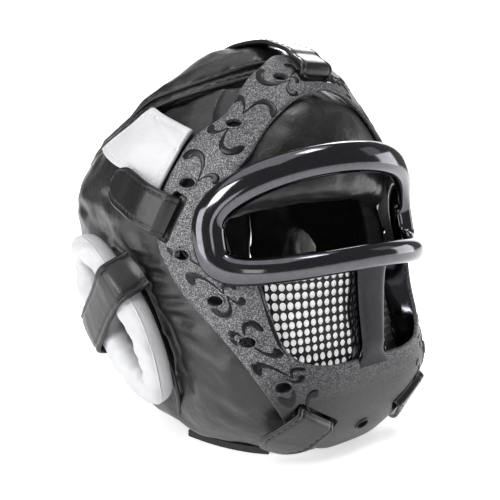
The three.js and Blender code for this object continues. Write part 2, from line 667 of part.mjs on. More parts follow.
// The top strap comes out of its slot, over the tab of the mask and back over the crown.
const topStart = maskPoint(TOP_STRAP.angle, TOP_STRAP.z, -TOP_STRAP.tuck);
const topOut = maskPoint(TOP_STRAP.angle, TOP_STRAP.z + 1, 1.5);
const topOver = maskPoint(TOP_STRAP.angle, FACE_BAND[0].outerZ + 2, 3);
const crownTop = (y, lift) => new THREE.Vector3(0, y, APEX_HEIGHT + lift);
const topPath = new THREE.CatmullRomCurve3([
  topStart, topOut, topOver,
  crownTop(-24, 3.4),
  crownTop(-6, 2.4),
  crownTop(10, 0.8),
  crownTop(TOP_STRAP.endY, -TOP_STRAP.endDrop),
], false, 'catmullrom', 0.5);
addPiece('top_strap', bentSlab(2, 2 * STRAP.steps, (u, v, w) => {
  const p = topPath.getPoint(v);
  const run = topPath.getTangent(v);
  p.addScaledVector(new THREE.Vector3(0, -run.z, run.y), w * STRAP.thickness);
  p.x = (0.5 - u) * TOP_STRAP.width;
  return p;
}), COLOURS.leather);

// A side strap comes out of its slot, lies back over the band and ends in a round tab.
function sideStrap(strap, side, carrier) {
  const startAngle = side * strap.from.angle;
  const start = sectionPoint(strap.lies, startAngle, strap.from.z);
  const turn = strapTurn(strap, side);
  const length = sectionPoint(strap.lies, side * strap.to.angle, strap.to.z).distanceTo(start);
  const round = strap.width / 2;
  return bentSlab(STRAP.steps, 2, (u, v, w) => {
    const fromEnd = (1 - u) * length;
    const squeeze = fromEnd < round ? Math.sqrt(Math.max(round ** 2 - (round - fromEnd) ** 2, 4)) / round : 1;
    const across = (v - 0.5) * strap.width * squeeze;
    const angle = side * lerp(strap.from.angle, strap.to.angle, u);
    const z = lerp(strap.from.z, strap.to.z, u);
    const frame = surfaceFrame(strap.lies, angle, z);
    const local = frame.along.clone().multiplyScalar(-Math.sin(turn)).addScaledVector(frame.up, Math.cos(turn));
    const height = carrier(u) + w * STRAP.thickness;
    return frame.origin.addScaledVector(frame.out, height).addScaledVector(local, across);
  });
}

for (const { word, side } of SIDES) {
  const span = TEMPLE_STRAP.to.angle - TEMPLE_STRAP.from.angle;
  const leave = (TEMPLE_STRAP.bandEnd - TEMPLE_STRAP.from.angle) / span;
  const land = (TEMPLE_STRAP.landing - TEMPLE_STRAP.from.angle) / span;
  addPiece(`temple_strap_${word}`, sideStrap(TEMPLE_STRAP, side, (u) => {
    const out = Math.min(u * STRAP.steps, 1);
    const settle = THREE.MathUtils.smoothstep(u, leave, land);
    return lerp(lerp(TEMPLE_STRAP.tuck, TEMPLE_STRAP.overBand, out), TEMPLE_STRAP.onPanel, settle);
  }), COLOURS.leather);
  addPiece(`chin_strap_${word}`, sideStrap(CHIN_STRAP, side, (u) => {
    const out = Math.min(u * STRAP.steps, 1);
    return lerp(CHIN_STRAP.tuck, CHIN_STRAP.overBand, out);
  }), COLOURS.leather);
}

// Neck binding: a flat-bottomed strip under the lower edge of each side pad
for (const { word, side } of SIDES) {
  addPiece(`neck_binding_${word}`, bentSlab(10, 1, (u, v, w) => {
    const angle = side * lerp(NECK_BINDING.front, NECK_BINDING.rear, u);
    const edge = guardPoint(angle, SIDE_PAD.flatBottom, lerp(NECK_BINDING.inner, NECK_BINDING.outer, w));
    edge.z = v * NECK_BINDING.height;
    return edge;
  }), COLOURS.trim);
}

headgear.position.y = -DEPTH_CENTRE;

export default headgear;
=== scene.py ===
"""Karate headgear: the padded guard, its strapped-on mask, and the studio they stand in.

Two surfaces carry nearly every piece: the outside of the padded guard and the outside of the mask.
Each is a stack of level sections, read at an angle from the front (the wearer's right is positive)
and at a height. Sizes here are millimetres, and they become metres when a mesh is made.
"""
from __future__ import annotations

import logging
import math
from dataclasses import dataclass, field
from enum import Enum, IntEnum
from typing import Any, Callable, Sequence

import bpy
import numpy as np
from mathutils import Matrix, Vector

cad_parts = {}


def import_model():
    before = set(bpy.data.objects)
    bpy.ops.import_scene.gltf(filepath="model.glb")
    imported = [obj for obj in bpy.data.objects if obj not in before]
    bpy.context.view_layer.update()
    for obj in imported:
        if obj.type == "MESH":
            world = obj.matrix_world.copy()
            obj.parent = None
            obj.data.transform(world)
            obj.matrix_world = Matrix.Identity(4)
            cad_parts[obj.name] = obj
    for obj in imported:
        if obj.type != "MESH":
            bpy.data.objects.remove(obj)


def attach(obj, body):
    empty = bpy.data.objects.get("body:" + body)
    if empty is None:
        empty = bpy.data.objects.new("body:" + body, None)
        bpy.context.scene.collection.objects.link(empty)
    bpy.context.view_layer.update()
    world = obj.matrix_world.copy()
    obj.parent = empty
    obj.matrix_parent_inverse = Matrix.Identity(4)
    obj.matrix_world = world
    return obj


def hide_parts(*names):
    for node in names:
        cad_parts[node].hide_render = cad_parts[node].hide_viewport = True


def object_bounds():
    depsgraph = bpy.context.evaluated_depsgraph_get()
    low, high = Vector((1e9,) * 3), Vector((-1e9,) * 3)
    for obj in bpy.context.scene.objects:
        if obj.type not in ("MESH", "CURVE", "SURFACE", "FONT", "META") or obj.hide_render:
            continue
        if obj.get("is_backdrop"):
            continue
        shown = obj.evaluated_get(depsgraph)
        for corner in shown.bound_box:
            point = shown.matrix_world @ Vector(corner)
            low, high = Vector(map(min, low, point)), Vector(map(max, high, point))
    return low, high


Array = np.ndarray
Piece = bpy.types.Object
Material = bpy.types.Material
Pairs = tuple[tuple[float, float], ...]
Layers = tuple[tuple[float, float, int], ...]
LOG = logging.getLogger("headgear")

MILLIMETRE = 0.001
# The frame's origin, in the millimetres of the sections below.
ORIGIN = np.array([0.0, 8.8, 0.0])
# Walls and sheets of the mouth windows fold back by this slope, from this far off the middle.
FOLD_SLOPE = 0.2
FOLD_START = 8.0
# Rows of stitches run this far inside the edge of a strap.
STITCH_INSET = 3.0


class Side(Enum):
    """The wearer's right and left, with the sign of their angles."""

    RIGHT = 1
    LEFT = -1

    @property
    def word(self) -> str:
        """The side's name in a piece's name."""
        return self.name.lower()


class Slot(Enum):
    """Material slots of the part's record."""

    BLACK_LEATHER = "black_leather"
    WHITE_LEATHER = "white_leather"
    STRAP = "strap_leather"
    MASK = "moulded_mask"
    SCREEN = "screen_black"
    BACKING = "backing_white"
    BINDING = "binding_black"


class Column(IntEnum):
    """Columns of a section's row, after its height."""

    FRONT = 1
    HALF = 2
    BACK = 3
    FRONT_SQUARE = 4
    BACK_SQUARE = 5


def lerp(a: Any, b: Any, t: Any) -> Any:
    """Straight blend from a at t = 0 to b at t = 1."""
    return a + (b - a) * t


def ease(t: Array) -> Array:
    """Smooth step from 0 to 1, flat at both ends."""
    t = np.clip(t, 0.0, 1.0)
    return t * t * (3.0 - 2.0 * t)


def crowd(t: Array) -> Array:
    """Stations that gather at both ends of a run."""
    return 0.5 - 0.5 * np.cos(np.pi * t)


def signed_power(value: Array, power: Array) -> Array:
    """A power that keeps the sign of its base."""
    return np.sign(value) * np.abs(value) ** power


def unit(vectors: Array) -> Array:
    """Vectors scaled to length one."""
    return vectors / np.maximum(np.linalg.norm(vectors, axis=-1, keepdims=True), 1e-9)


def circle(count: int) -> Array:
    """Angles once round a circle in radians, without the repeated end."""
    return np.linspace(0.0, 2.0 * np.pi, count, endpoint=False)


def bell(distance: Array, width: float) -> Array:
    """A smooth bump that is 1 at zero and dies away over a width."""
    return np.exp(-((distance / width) ** 2))


def quarter_round(share: Array, least: float = 0.0) -> Array:
    """Height of a quarter circle at a share of its radius from its edge, kept over a least square."""
    return np.sqrt(np.clip(1.0 - (1.0 - np.minimum(share, 1.0)) ** 2, least, 1.0))


def run_along(points: Array) -> Array:
    """Length run from the first point of a line to each of its points."""
    return np.concatenate([[0.0], np.cumsum(np.linalg.norm(np.diff(points, axis=0), axis=-1))])


def cubic(rows: Sequence[Array], share: Array) -> Array:
    """Catmull-Rom cubic, whose slope at a row is half the step between that row's neighbours.

    Args:
        rows: Four rows of points.
        share: Place between the middle two, from 0 to 1.

    Returns:
        The points.
    """
    p0, p1, p2, p3 = rows
    a = -0.5 * p0 + 1.5 * p1 - 1.5 * p2 + 0.5 * p3
    b = p0 - 2.5 * p1 + 2.0 * p2 - 0.5 * p3
    c = 0.5 * (p2 - p0)
    return ((a * share + b) * share + c) * share + p1


def closed_curve(rows: Array, t: Array) -> Array:
    """A closed curve of cubics through the rows.

    Args:
        rows: The points that the curve passes, one a row.
        t: Places on the curve, from 0 to 1 once round.

    Returns:
        One point for each place.
    """
    count = len(rows)
    place = np.mod(t, 1.0) * count
    low = np.floor(place).astype(int)
    return cubic([rows[(low + step) % count] for step in (-1, 0, 1, 2)], (place - low)[..., None])


def open_curve(rows: Array, t: Array) -> Array:
    """An open curve of cubics through the rows, with its end rows mirrored outwards.

    Args:
        rows: The points that the curve passes, one a row.
        t: Places on the curve, from 0 to 1.

    Returns:
        One point for each place.
    """
    first = 2.0 * rows[:1] - rows[1:2]
    last = 2.0 * rows[-1:] - rows[-2:-1]
    padded = np.concatenate([first, rows, last])
    place = np.clip(t, 0.0, 1.0) * (len(rows) - 1)
    low = np.minimum(np.floor(place).astype(int), len(rows) - 2)
    return cubic([padded[low + step] for step in range(4)], (place - low)[..., None])


def ripple(points: Array, wavelength: float, seed: int) -> Array:
    """Soft uneven waves in space: the mean of seven sines in fixed, scattered directions.

    Args:
        points: Places in millimetres.
        wavelength: Middle wavelength in millimetres.
        seed: Chooses the directions.

    Returns:
        Heights from about -1 to 1.
    """
    random = np.random.default_rng(seed)
    directions = unit(random.normal(size=(7, 3)))
    waves = 2.0 * np.pi / (wavelength * random.uniform(0.7, 1.5, 7))
    phases = random.uniform(0.0, 2.0 * np.pi, 7)
    return np.sin(points @ (directions * waves[:, None]).T + phases).mean(axis=-1) * 2.0


def ripples(points: Array, layers: Layers) -> Array:
    """Ripples added up: each layer is a height, a wavelength and a seed."""
    return sum(height * ripple(points, wavelength, seed) for height, wavelength, seed in layers)


# Carrying surfaces


@dataclass(frozen=True)
class SectionStack:
    """Level sections, each half an ellipse or squarer, stacked by height.

    A row holds its height, front reach, half width, back reach, and the squareness of its front
    half and of its back half.
    """

    rows: tuple[tuple[float, float, float, float, float, float], ...]
    centre: float = 10.0

    def read(self, column: Column, height: Array) -> Array:
        """A measure at any height: cubic pieces, sloped at each row as its neighbours are.

        Args:
            column: Which measure of the sections.
            height: Millimetres above the floor.

        Returns:
            The measure at each height.
        """
        table = np.asarray(self.rows)
        knots, values = table[:, 0], table[:, column]
        order = np.arange(len(knots))
        before, after = np.maximum(order - 1, 0), np.minimum(order + 1, len(knots) - 1)
        slopes = (values[after] - values[before]) / (knots[after] - knots[before])
        low = np.clip(np.searchsorted(knots, height) - 1, 0, len(knots) - 2)
        span = knots[low + 1] - knots[low]
        t = np.clip((height - knots[low]) / span, 0.0, 1.0)
        start = (2 * t**3 - 3 * t**2 + 1) * values[low] + (t**3 - 2 * t**2 + t) * span * slopes[low]
        end = (3 * t**2 - 2 * t**3) * values[low + 1] + (t**3 - t**2) * span * slopes[low + 1]
        return start + end

    def half(self, ahead: Array, height: Array) -> tuple[Array, Array]:
        """The front or the back half of the sections.

        Args:
            ahead: True where the front half is meant.
            height: Millimetres above the floor.

        Returns:
            Squareness, and reach from the centre.
        """
        front, back = Column.FRONT_SQUARE, Column.BACK_SQUARE
        square = np.where(ahead, self.read(front, height), self.read(back, height))
        reach = np.where(ahead, self.read(Column.FRONT, height), self.read(Column.BACK, height))
        return square, reach - self.centre

    def point(self, angle: Array, height: Array) -> Array:
        """Points of the surface: a power of the sine across, and of the cosine in depth.

        Args:
            angle: Degrees from the front.
            height: Millimetres above the floor.

        Returns:
            The points.
        """
        angle, height = np.broadcast_arrays(np.asarray(angle, float), np.asarray(height, float))
        sine, cosine = np.sin(np.radians(angle)), np.cos(np.radians(angle))
        ahead = cosine > 0.0
        square, reach = self.half(ahead, height)
        x = -self.read(Column.HALF, height) * signed_power(sine, 2.0 / square)
        y = self.centre + reach * np.abs(cosine) ** (2.0 / square)
        return np.stack([x, y, height], axis=-1)

    def axes(self, angle: Array, height: Array) -> tuple[Array, Array, Array, Array]:
        """Origin and unit axes on the surface.

        Args:
            angle: Degrees from the front.
            height: Millimetres above the floor.

        Returns:
            Origin, along (to larger angles), up and out.
        """
        angle, height = np.broadcast_arrays(np.asarray(angle, float), np.asarray(height, float))
        step = 0.05
        along = unit(self.point(angle + step, height) - self.point(angle - step, height))
        rise = unit(self.point(angle, height + step) - self.point(angle, height - step))
        out = unit(np.cross(rise, along))
        return self.point(angle, height), along, np.cross(along, out), out

    def at(self, angle: Array, height: Array, offset: Array) -> Array:
        """Points that stand off the surface by an offset along its outward axis."""
        origin, _, _, out = self.axes(angle, height)
        return origin + out * np.asarray(offset, float)[..., None]

    def angle_at(self, points: Array) -> Array:
        """The angle of points near the surface, from their place in the level section.

        Args:
            points: The points.

        Returns:
            Degrees from the front.
        """
        height = points[..., 2]
        ahead = points[..., 1] < self.centre
        square, reach = self.half(ahead, height)
        across = np.abs(points[..., 0] / self.read(Column.HALF, height)) ** (square / 2.0)
        depth = np.abs((points[..., 1] - self.centre) / reach) ** (square / 2.0)
        angle = np.degrees(np.arctan2(across, np.where(ahead, depth, -depth)))
        return np.where(points[..., 0] > 0.0, -angle, angle)


MASK = SectionStack((
    (0, -80, 58, 64, 2.6, 2.35), (20, -95, 72, 82, 3.2, 2.35), (45, -102, 82, 98, 3.8, 2.35),
    (67, -100, 86, 110, 3.2, 2.35), (90, -98, 89, 119, 2.6, 2.35), (118, -97, 94, 126, 2.2, 2.35),
    (145, -92, 95, 127, 2.0, 2.35), (172, -84, 88, 117, 2.0, 2.35), (187, -76, 78, 106, 2.0, 2.35),
    (200, -67, 70, 93, 2.0, 2.35), (213, -57.5, 61, 75, 2.0, 2.35), (222, -47, 54.5, 62, 2.0, 2.35),
    (232, -35, 48, 50, 2.0, 2.35),
))
GUARD = SectionStack((
    (0, -74, 57, 60, 2.3, 2.35), (20, -89, 68, 78, 2.8, 2.35), (45, -95, 78, 95, 3.2, 2.35),
    (67, -93, 82, 106, 2.9, 2.35), (90, -91, 85, 115, 2.5, 2.35), (118, -88, 90, 122, 2.2, 2.35),
    (145, -82, 91, 122, 2.0, 2.35), (172, -73, 83.5, 103.5, 2.0, 2.1), (187, -66, 74, 83.5, 2.0, 1.9),
    (200, -57, 65.5, 65, 2.0, 1.65), (213, -47, 46.5, 45.5, 2.0, 1.6), (222, -36, 33, 32, 2.0, 1.6),
    (228, -21, 19, 24, 2.0, 1.6), (231, 4, 4, 12, 2.0, 1.6),
))


# Meshes


@dataclass
class Form:
    """A closed mesh as points in millimetres and faces."""

    points: Array
    faces: list[list[int]] = field(default_factory=list)

    @staticmethod
    def quads(rows: int, columns: int, wrap_rows: bool, wrap_columns: bool) -> Array:
        """Corner numbers of a grid's quads.

        Args:
            rows: Rows of the grid.
            columns: Columns of the grid.
            wrap_rows: Whether the last row meets the first.
            wrap_columns: Whether the last column meets the first.

        Returns:
            Four corners for each quad.
        """
        r0, c0 = np.meshgrid(
            np.arange(rows if wrap_rows else rows - 1),
            np.arange(columns if wrap_columns else columns - 1),
            indexing="ij",
        )
        r1, c1 = (r0 + 1) % rows, (c0 + 1) % columns
        corners = (r0 * columns + c0, r1 * columns + c0, r1 * columns + c1, r0 * columns + c1)
        return np.stack(corners, axis=-1).reshape(-1, 4)

    @classmethod
    def ring(cls, grid: Array) -> Form:
        """A tube closed on itself: rows run round the ring, columns round its section."""
        rows, columns = grid.shape[:2]
        return cls(grid.reshape(-1, 3), cls.quads(rows, columns, True, True).tolist()).outward()

    @classmethod
    def tube(cls, grid: Array) -> Form:
        """A tube with a flat cap on each end.

        Args:
            grid: Points, with rows along the tube and columns round its section.

        Returns:
            The closed form.
        """
        rows, columns = grid.shape[:2]
        faces = cls.quads(rows, columns, False, True).tolist()
        faces.append(list(range(columns)))
        faces.append([(rows - 1) * columns + k for k in range(columns)][::-1])
        return cls(grid.reshape(-1, 3), faces).outward()

    @classmethod
    def slab(cls, outer: Array, inner: Array) -> Form:
        """A wall between two sheets of the same grid, closed along its four edges.

        Args:
            outer: Points of the outer sheet.
            inner: Points of the inner sheet.

        Returns:
            The closed form.
        """
        rows, columns = outer.shape[:2]
        sheet = cls.quads(rows, columns, False, False)
        count = rows * columns
        index = np.arange(count).reshape(rows, columns)
        edge = np.concatenate([index[0, :-1], index[:-1, -1], index[-1, :0:-1], index[:0:-1, 0]])
        following = np.roll(edge, -1)
        wall = np.stack([edge, following, following + count, edge + count], axis=-1)
        faces = np.concatenate([sheet, sheet[:, ::-1] + count, wall]).tolist()
        return cls(np.concatenate([outer.reshape(-1, 3), inner.reshape(-1, 3)]), faces).outward()

    @classmethod
    def copies(cls, base: Form, origin: Array, axes: Array) -> Form:
        """The base form set at each origin, on that origin's three axes.

        Args:
            base: The form to repeat, about its own zero.
            origin: Places, one a row.
            axes: For each place, its x, y and z axes as rows of a matrix.

        Returns:
            All copies as one form.
        """
        points = np.einsum("pk,nkj->npj", base.points, axes) + origin[:, None, :]
        size = len(base.points)
        starts = range(0, size * len(origin), size)
        faces = [[corner + start for corner in face] for start in starts for face in base.faces]
        return cls(points.reshape(-1, 3), faces)

    @classmethod
    def joined(cls, forms: Sequence[Form]) -> Form:
        """Several forms as one mesh.

        Args:
            forms: The forms, each closed.

        Returns:
            All of them as one form.
        """
        starts = np.cumsum([0] + [len(form.points) for form in forms]).tolist()
        faces = [[c + start for c in face] for form, start in zip(forms, starts) for face in form.faces]
        return cls(np.concatenate([form.points for form in forms]), faces)

    def outward(self) -> Form:
        """Turns the faces outwards, told by the sign of the form's volume.

        Returns:
            The same form.
        """
        triangles = np.array([[f[0], f[k], f[k + 1]] for f in self.faces for k in range(1, len(f) - 1)])
        a, b, c = (self.points[triangles[:, k]] for k in range(3))
        if np.einsum("ij,ij->i", a, np.cross(b, c)).sum() < 0.0:
            self.faces = [face[::-1] for face in self.faces]
        return self

    def object(self, name: str, sharp: float = 50.0) -> Piece:
        """A new scene object of this form, smooth except across edges sharper than an angle.

        Args:
            name: The piece's name.
            sharp: Degrees between faces from which an edge stays sharp.

        Returns:
            The object, at the origin, in metres.
        """
        mesh = bpy.data.meshes.new(name)
        points = (self.points - ORIGIN) * MILLIMETRE
        mesh.from_pydata(points.tolist(), [], self.faces)
        smooth(mesh, sharp)
        piece = bpy.data.objects.new(name, mesh)
        bpy.context.scene.collection.objects.link(piece)
        return piece


def smooth(mesh: bpy.types.Mesh, sharp: float) -> None:
    """Shades a mesh smooth.

    Args:
        mesh: The mesh.
        sharp: Degrees between faces from which an edge stays sharp.
    """
    mesh.polygons.foreach_set("use_smooth", np.ones(len(mesh.polygons), dtype=bool))
    mesh.set_sharp_from_angle(angle=math.radians(sharp))
    mesh.update()


def mesh_vectors(rows: Any, name: str) -> Array:
    """A vector of every vertex, read as one array.

    Args:
        rows: The mesh's vertices or its vertex normals.
        name: The vector's name there.

    Returns:
        One vector a row.
    """
    flat = np.empty(len(rows) * 3)
    rows.foreach_get(name, flat)
    return flat.reshape(-1, 3)


def mesh_points(mesh: bpy.types.Mesh) -> Array:
    """The vertices of a mesh, in the millimetres of the sections."""
    return mesh_vectors(mesh.vertices, "co") / MILLIMETRE + ORIGIN


def set_mesh_points(mesh: bpy.types.Mesh, points: Array) -> None:
    """Puts points in the millimetres of the sections back into a mesh."""
    mesh.vertices.foreach_set("co", ((points - ORIGIN) * MILLIMETRE).ravel())
    mesh.update()


def bake_modifiers(piece: Piece) -> None:
    """Replaces a piece's mesh by what its modifiers make of it, and removes them.

    Args:
        piece: The piece.
    """
    graph = bpy.context.evaluated_depsgraph_get()
    made = bpy.data.meshes.new_from_object(piece.evaluated_get(graph))
    old = piece.data
    piece.modifiers.clear()
    piece.data = made
    made.name = piece.name
    bpy.data.meshes.remove(old)


def subdivide(piece: Piece, points: Array) -> None:
    """Puts points into a piece and keeps one level of subdivision in its mesh.

    Args:
        piece: The piece.
        points: Its vertices in millimetres.
    """
    set_mesh_points(piece.data, points)
    modifier = piece.modifiers.new("Subdivision", "SUBSURF")
    modifier.levels = 1
    modifier.render_levels = 1
    bake_modifiers(piece)


def cut_away(piece: Piece, cutters: Form, sharp: float) -> None:
    """Cuts the cutters out of a piece and keeps the result as its mesh.

    Args:
        piece: The piece.
        cutters: Closed forms to cut away.
        sharp: Degrees between faces from which an edge stays sharp.
    """
    tool = cutters.object("cutter")
    modifier = piece.modifiers.new("Cut", "BOOLEAN")
    modifier.operation = "DIFFERENCE"
    modifier.solver = "EXACT"
    modifier.object = tool
    bake_modifiers(piece)
    mesh = tool.data
    bpy.data.objects.remove(tool)
    bpy.data.meshes.remove(mesh)
    smooth(piece.data, sharp)


def register(
    piece: Piece, material: Material, slot: Slot, stands_for: Sequence[str] = (),
) -> Piece:
    """Dresses a piece and tells the frame what it is.

    Args:
        piece: The finished object.
        material: Its material.
        slot: Not used. The record's slot that the material belongs to.
        stands_for: CAD nodes that the piece shows instead.

    Returns:
        The same object.
    """
    piece.data.materials.clear()
    piece.data.materials.append(material)
    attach(piece, "root")
    if stands_for:
        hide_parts(*stands_for)
    LOG.info("%s: %d faces", piece.name, len(piece.data.polygons))
    return piece


# Shader expressions


class Value:
    """A shader socket that adds Math nodes when it is used in an expression."""

    def __init__(self, graph: Graph, socket: bpy.types.NodeSocket) -> None:
        """Wraps a socket of a graph."""
        self.graph = graph
        self.socket = socket

    def _math(self, operation: str, first: Any, second: Any) -> Value:
        """A Math node on two values."""
        return self.graph.node("ShaderNodeMath", {"operation": operation}, {0: first, 1: second}).out(0)

    def __add__(self, other: Any) -> Value:
        """self + other"""
        return self._math("ADD", self, other)

    def __sub__(self, other: Any) -> Value:
        """self - other"""
        return self._math("SUBTRACT", self, other)

    def __rsub__(self, other: Any) -> Value:
        """other - self"""
        return self._math("SUBTRACT", other, self)

    def __mul__(self, other: Any) -> Value:
        """self * other"""
        return self._math("MULTIPLY", self, other)

    def __truediv__(self, other: Any) -> Value:
        """self / other"""
        return self._math("DIVIDE", self, other)

    def __rtruediv__(self, other: Any) -> Value:
        """other / self"""
        return self._math("DIVIDE", other, self)

    __radd__ = __add__
    __rmul__ = __mul__


class Made:
    """A node just made, with its outputs as values."""

    def __init__(self, graph: Graph, node: bpy.types.Node) -> None:
        """Keeps the node and its graph."""
        self.graph = graph
        self.node = node

    def out(self, key: int | str) -> Value:
        """An output by number or name."""
        return Value(self.graph, self.node.outputs[key])


class Graph:
    """The node tree of one material."""

    def __init__(self, name: str) -> None:
        """Starts an empty material.

        Args:
            name: The material's name.
        """
        self.material = bpy.data.materials.new(name)
        self.material.use_nodes = True
        self.tree = self.material.node_tree
        self.tree.nodes.clear()
        self.place = self.node("ShaderNodeTexCoord").out("Object")

    def node(
        self, kind: str, settings: dict[str, Any] | None = None, inputs: dict[Any, Any] | None = None,
    ) -> Made:
        """Adds a node.

        Args:
            kind: Its type.
            settings: Properties that are set first. "stops" gives a ramp's (place, grey) pairs.
            inputs: Socket number, name or identifier to a value or a link.

        Returns:
            The node.
        """
        node = self.tree.nodes.new(kind)
        for key, value in (settings or {}).items():
            if key == "stops":
                self._stops(node.color_ramp, value)
            else:
                setattr(node, key, value)
        for key, value in (inputs or {}).items():
            socket = self._input(node, key)
            if isinstance(value, Value):
                self.tree.links.new(value.socket, socket)
            else:
                socket.default_value = value
        return Made(self, node)

    @staticmethod
    def _stops(ramp: bpy.types.ColorRamp, stops: Sequence[tuple[float, float]]) -> None:
        """Sets a ramp's stops as greys.

        Args:
            ramp: The ramp.
            stops: Place and grey of each stop.
        """
        while len(ramp.elements) < len(stops):
            ramp.elements.new(0.5)
        for element, (place, grey) in zip(ramp.elements, stops):
            element.position = place
            element.color = (grey, grey, grey, 1.0)

    @staticmethod
    def _input(node: bpy.types.Node, key: Any) -> bpy.types.NodeSocket:
        """Finds an input.

        Args:
            node: The node.
            key: The input's number, identifier or name.

        Returns:
            The socket.
        """
        if isinstance(key, int):
            return node.inputs[key]
        return next((s for s in node.inputs if s.identifier == key), None) or node.inputs[key]

    def noise(self, scale: float, detail: float = 2.0, roughness: float = 0.5) -> Value:
        """Noise on Object coordinates, in features per metre."""
        settings = {"Vector": self.place, "Scale": scale, "Detail": detail, "Roughness": roughness}
        return self.node("ShaderNodeTexNoise", None, settings).out(0)

    def cells(self, scale: float, feature: str, output: str) -> Value:
        """Cell pattern on Object coordinates, in cells per metre."""
        inputs = {"Vector": self.place, "Scale": scale}
        return self.node("ShaderNodeTexVoronoi", {"feature": feature}, inputs).out(output)

    def ramp(self, value: Value, stops: Sequence[tuple[float, float]]) -> Value:
        """A value sent through grey stops."""
        return self.node("ShaderNodeValToRGB", {"stops": stops}, {0: value}).out(0)

    def clamped(self, value: Value) -> Value:
        """A value kept from 0 to 1."""
        return self.node("ShaderNodeClamp", None, {0: value}).out(0)

    def mix(self, share: Value, first: Any, second: Any) -> Value:
        """A colour between two colours.

        Args:
            share: 0 for the first colour, 1 for the second.
            first: A colour or a link.
            second: A colour or a link.

        Returns:
            The colour.
        """
        inputs = {"Factor_Float": share, "A_Color": first, "B_Color": second}
        made = self.node("ShaderNodeMix", {"data_type": "RGBA"}, inputs)
        return Value(self, next(s for s in made.node.outputs if s.identifier == "Result_Color"))

    def bump(self, height: Value, strength: float, depth: float, under: Value | None = None) -> Value:
        """A normal from heights.

        Args:
            height: Heights from 0 to 1.
            strength: Share of the effect.
            depth: Metres of a full step.
            under: A coarser normal to add to.

        Returns:
            The normal.
        """
        inputs = {"Height": height, "Strength": strength, "Distance": depth}
        if under is not None:
            inputs["Normal"] = under
        return self.node("ShaderNodeBump", None, inputs).out(0)

    def finish(self, **inputs: Any) -> Material:
        """Closes the graph with the main shader.

        Args:
            **inputs: Socket names, with _ for a space, to values or links.

        Returns:
            The material.
        """
        named = {key.replace("_", " "): value for key, value in inputs.items()}
        shader = self.node("ShaderNodeBsdfPrincipled", None, named)
        self.node("ShaderNodeOutputMaterial", None, {"Surface": shader.out(0)})
        return self.material


def grey(level: float, blue: float = 1.0) -> tuple[float, float, float, float]:
    """A grey with a share more of blue, as a colour."""
    return (level, level, level * blue, 1.0)


@dataclass(frozen=True)
class LeatherFinish:
    """Grained leather-cloth: pebbles parted by creases, with uneven sheen."""

    name: str
    level: float
    roughness: float
    pebble: float = 1.1
    relief: float = 0.22
    rumple: float = 0.35
    specular: float = 0.5
    coat: float = 0.0
    coat_roughness: float = 0.2
    drift_scale: float = 38.0
    rumple_scale: float = 150.0
    fine_scale: float = 2600.0
    rumple_depth: float = 0.0012
    pebble_depth: float = 0.00022

    def material(self) -> Material:
        """Base colour and roughness drift slowly, and pebbles with fine noise make the bump.

        Returns:
            The material.
        """
        graph = Graph(self.name)
        drift = graph.noise(self.drift_scale, 3.0)
        edges = graph.cells(1000.0 / self.pebble, "DISTANCE_TO_EDGE", "Distance")
        pebbles = graph.ramp(edges, [(0.0, 0.0), (0.16, 1.0)])
        fine = graph.noise(self.fine_scale, 2.0)
        rumple = graph.noise(self.rumple_scale, 3.0, 0.6)
        colour = graph.mix(drift, grey(self.level * 0.82, 1.03), grey(self.level * 1.18, 1.03))
        soft = graph.bump(rumple, self.rumple, self.rumple_depth)
        normal = graph.bump(pebbles * 0.7 + fine * 0.5, self.relief, self.pebble_depth, soft)
        return graph.finish(
            Base_Color=colour,
            Roughness=drift * 0.16 + (self.roughness - 0.08) + fine * 0.06,
            Normal=normal,
            Specular_IOR_Level=self.specular,
            Coat_Weight=self.coat,
            Coat_Roughness=self.coat_roughness,
        )


@dataclass(frozen=True)
class MouldedFinish:
    """Dark grey moulded plastic with a fine sparkle, smoother and darker at the chin."""

    name: str = "moulded_sparkle_grey"
    level: float = 0.034
    fleck: float = 0.52
    roughness: float = 0.40
    chin_top: float = 0.066
    chin_fade: float = 0.024
    cell_scale: float = 2600.0
    grain_scale: float = 1900.0
    grain_depth: float = 0.0003
    metallic: float = 0.15
    specular: float = 0.45

    def material(self) -> Material:
        """Flecks brighten and darken single grains, and fade out below the mouth windows.

        Returns:
            The material.
        """
        graph = Graph(self.name)
        height = graph.node("ShaderNodeSeparateXYZ", None, {0: graph.place}).out("Z")
        above = graph.clamped((height - (self.chin_top - self.chin_fade)) / self.chin_fade)
        cells = graph.cells(self.cell_scale, "F1", "Color")
        cell = graph.node("ShaderNodeSeparateColor", None, {0: cells}).out(0)
        bright = graph.ramp(cell, [(0.55, 0.0), (0.99, 1.0)]) * (above * 0.92 + 0.08)
        grain = graph.noise(self.grain_scale, 3.0, 0.65)
        drift = graph.noise(45.0, 2.0)
        smooth_grey = graph.mix(drift, grey(self.level * 0.28, 1.12), grey(self.level * 0.4, 1.12))
        sandy_grey = graph.mix(drift, grey(self.level * 0.85, 1.08), grey(self.level * 1.15, 1.08))
        base = graph.mix(above, smooth_grey, sandy_grey)
        colour = graph.mix(bright * 0.6, base, grey(self.fleck, 1.05))
        return graph.finish(
            Base_Color=colour,
            Roughness=grain * 0.16 + (self.roughness - 0.14) + above * 0.06,
            Metallic=self.metallic,
            Normal=graph.bump(grain + cell * 0.6, 0.34, self.grain_depth),
            Specular_IOR_Level=self.specular,
        )


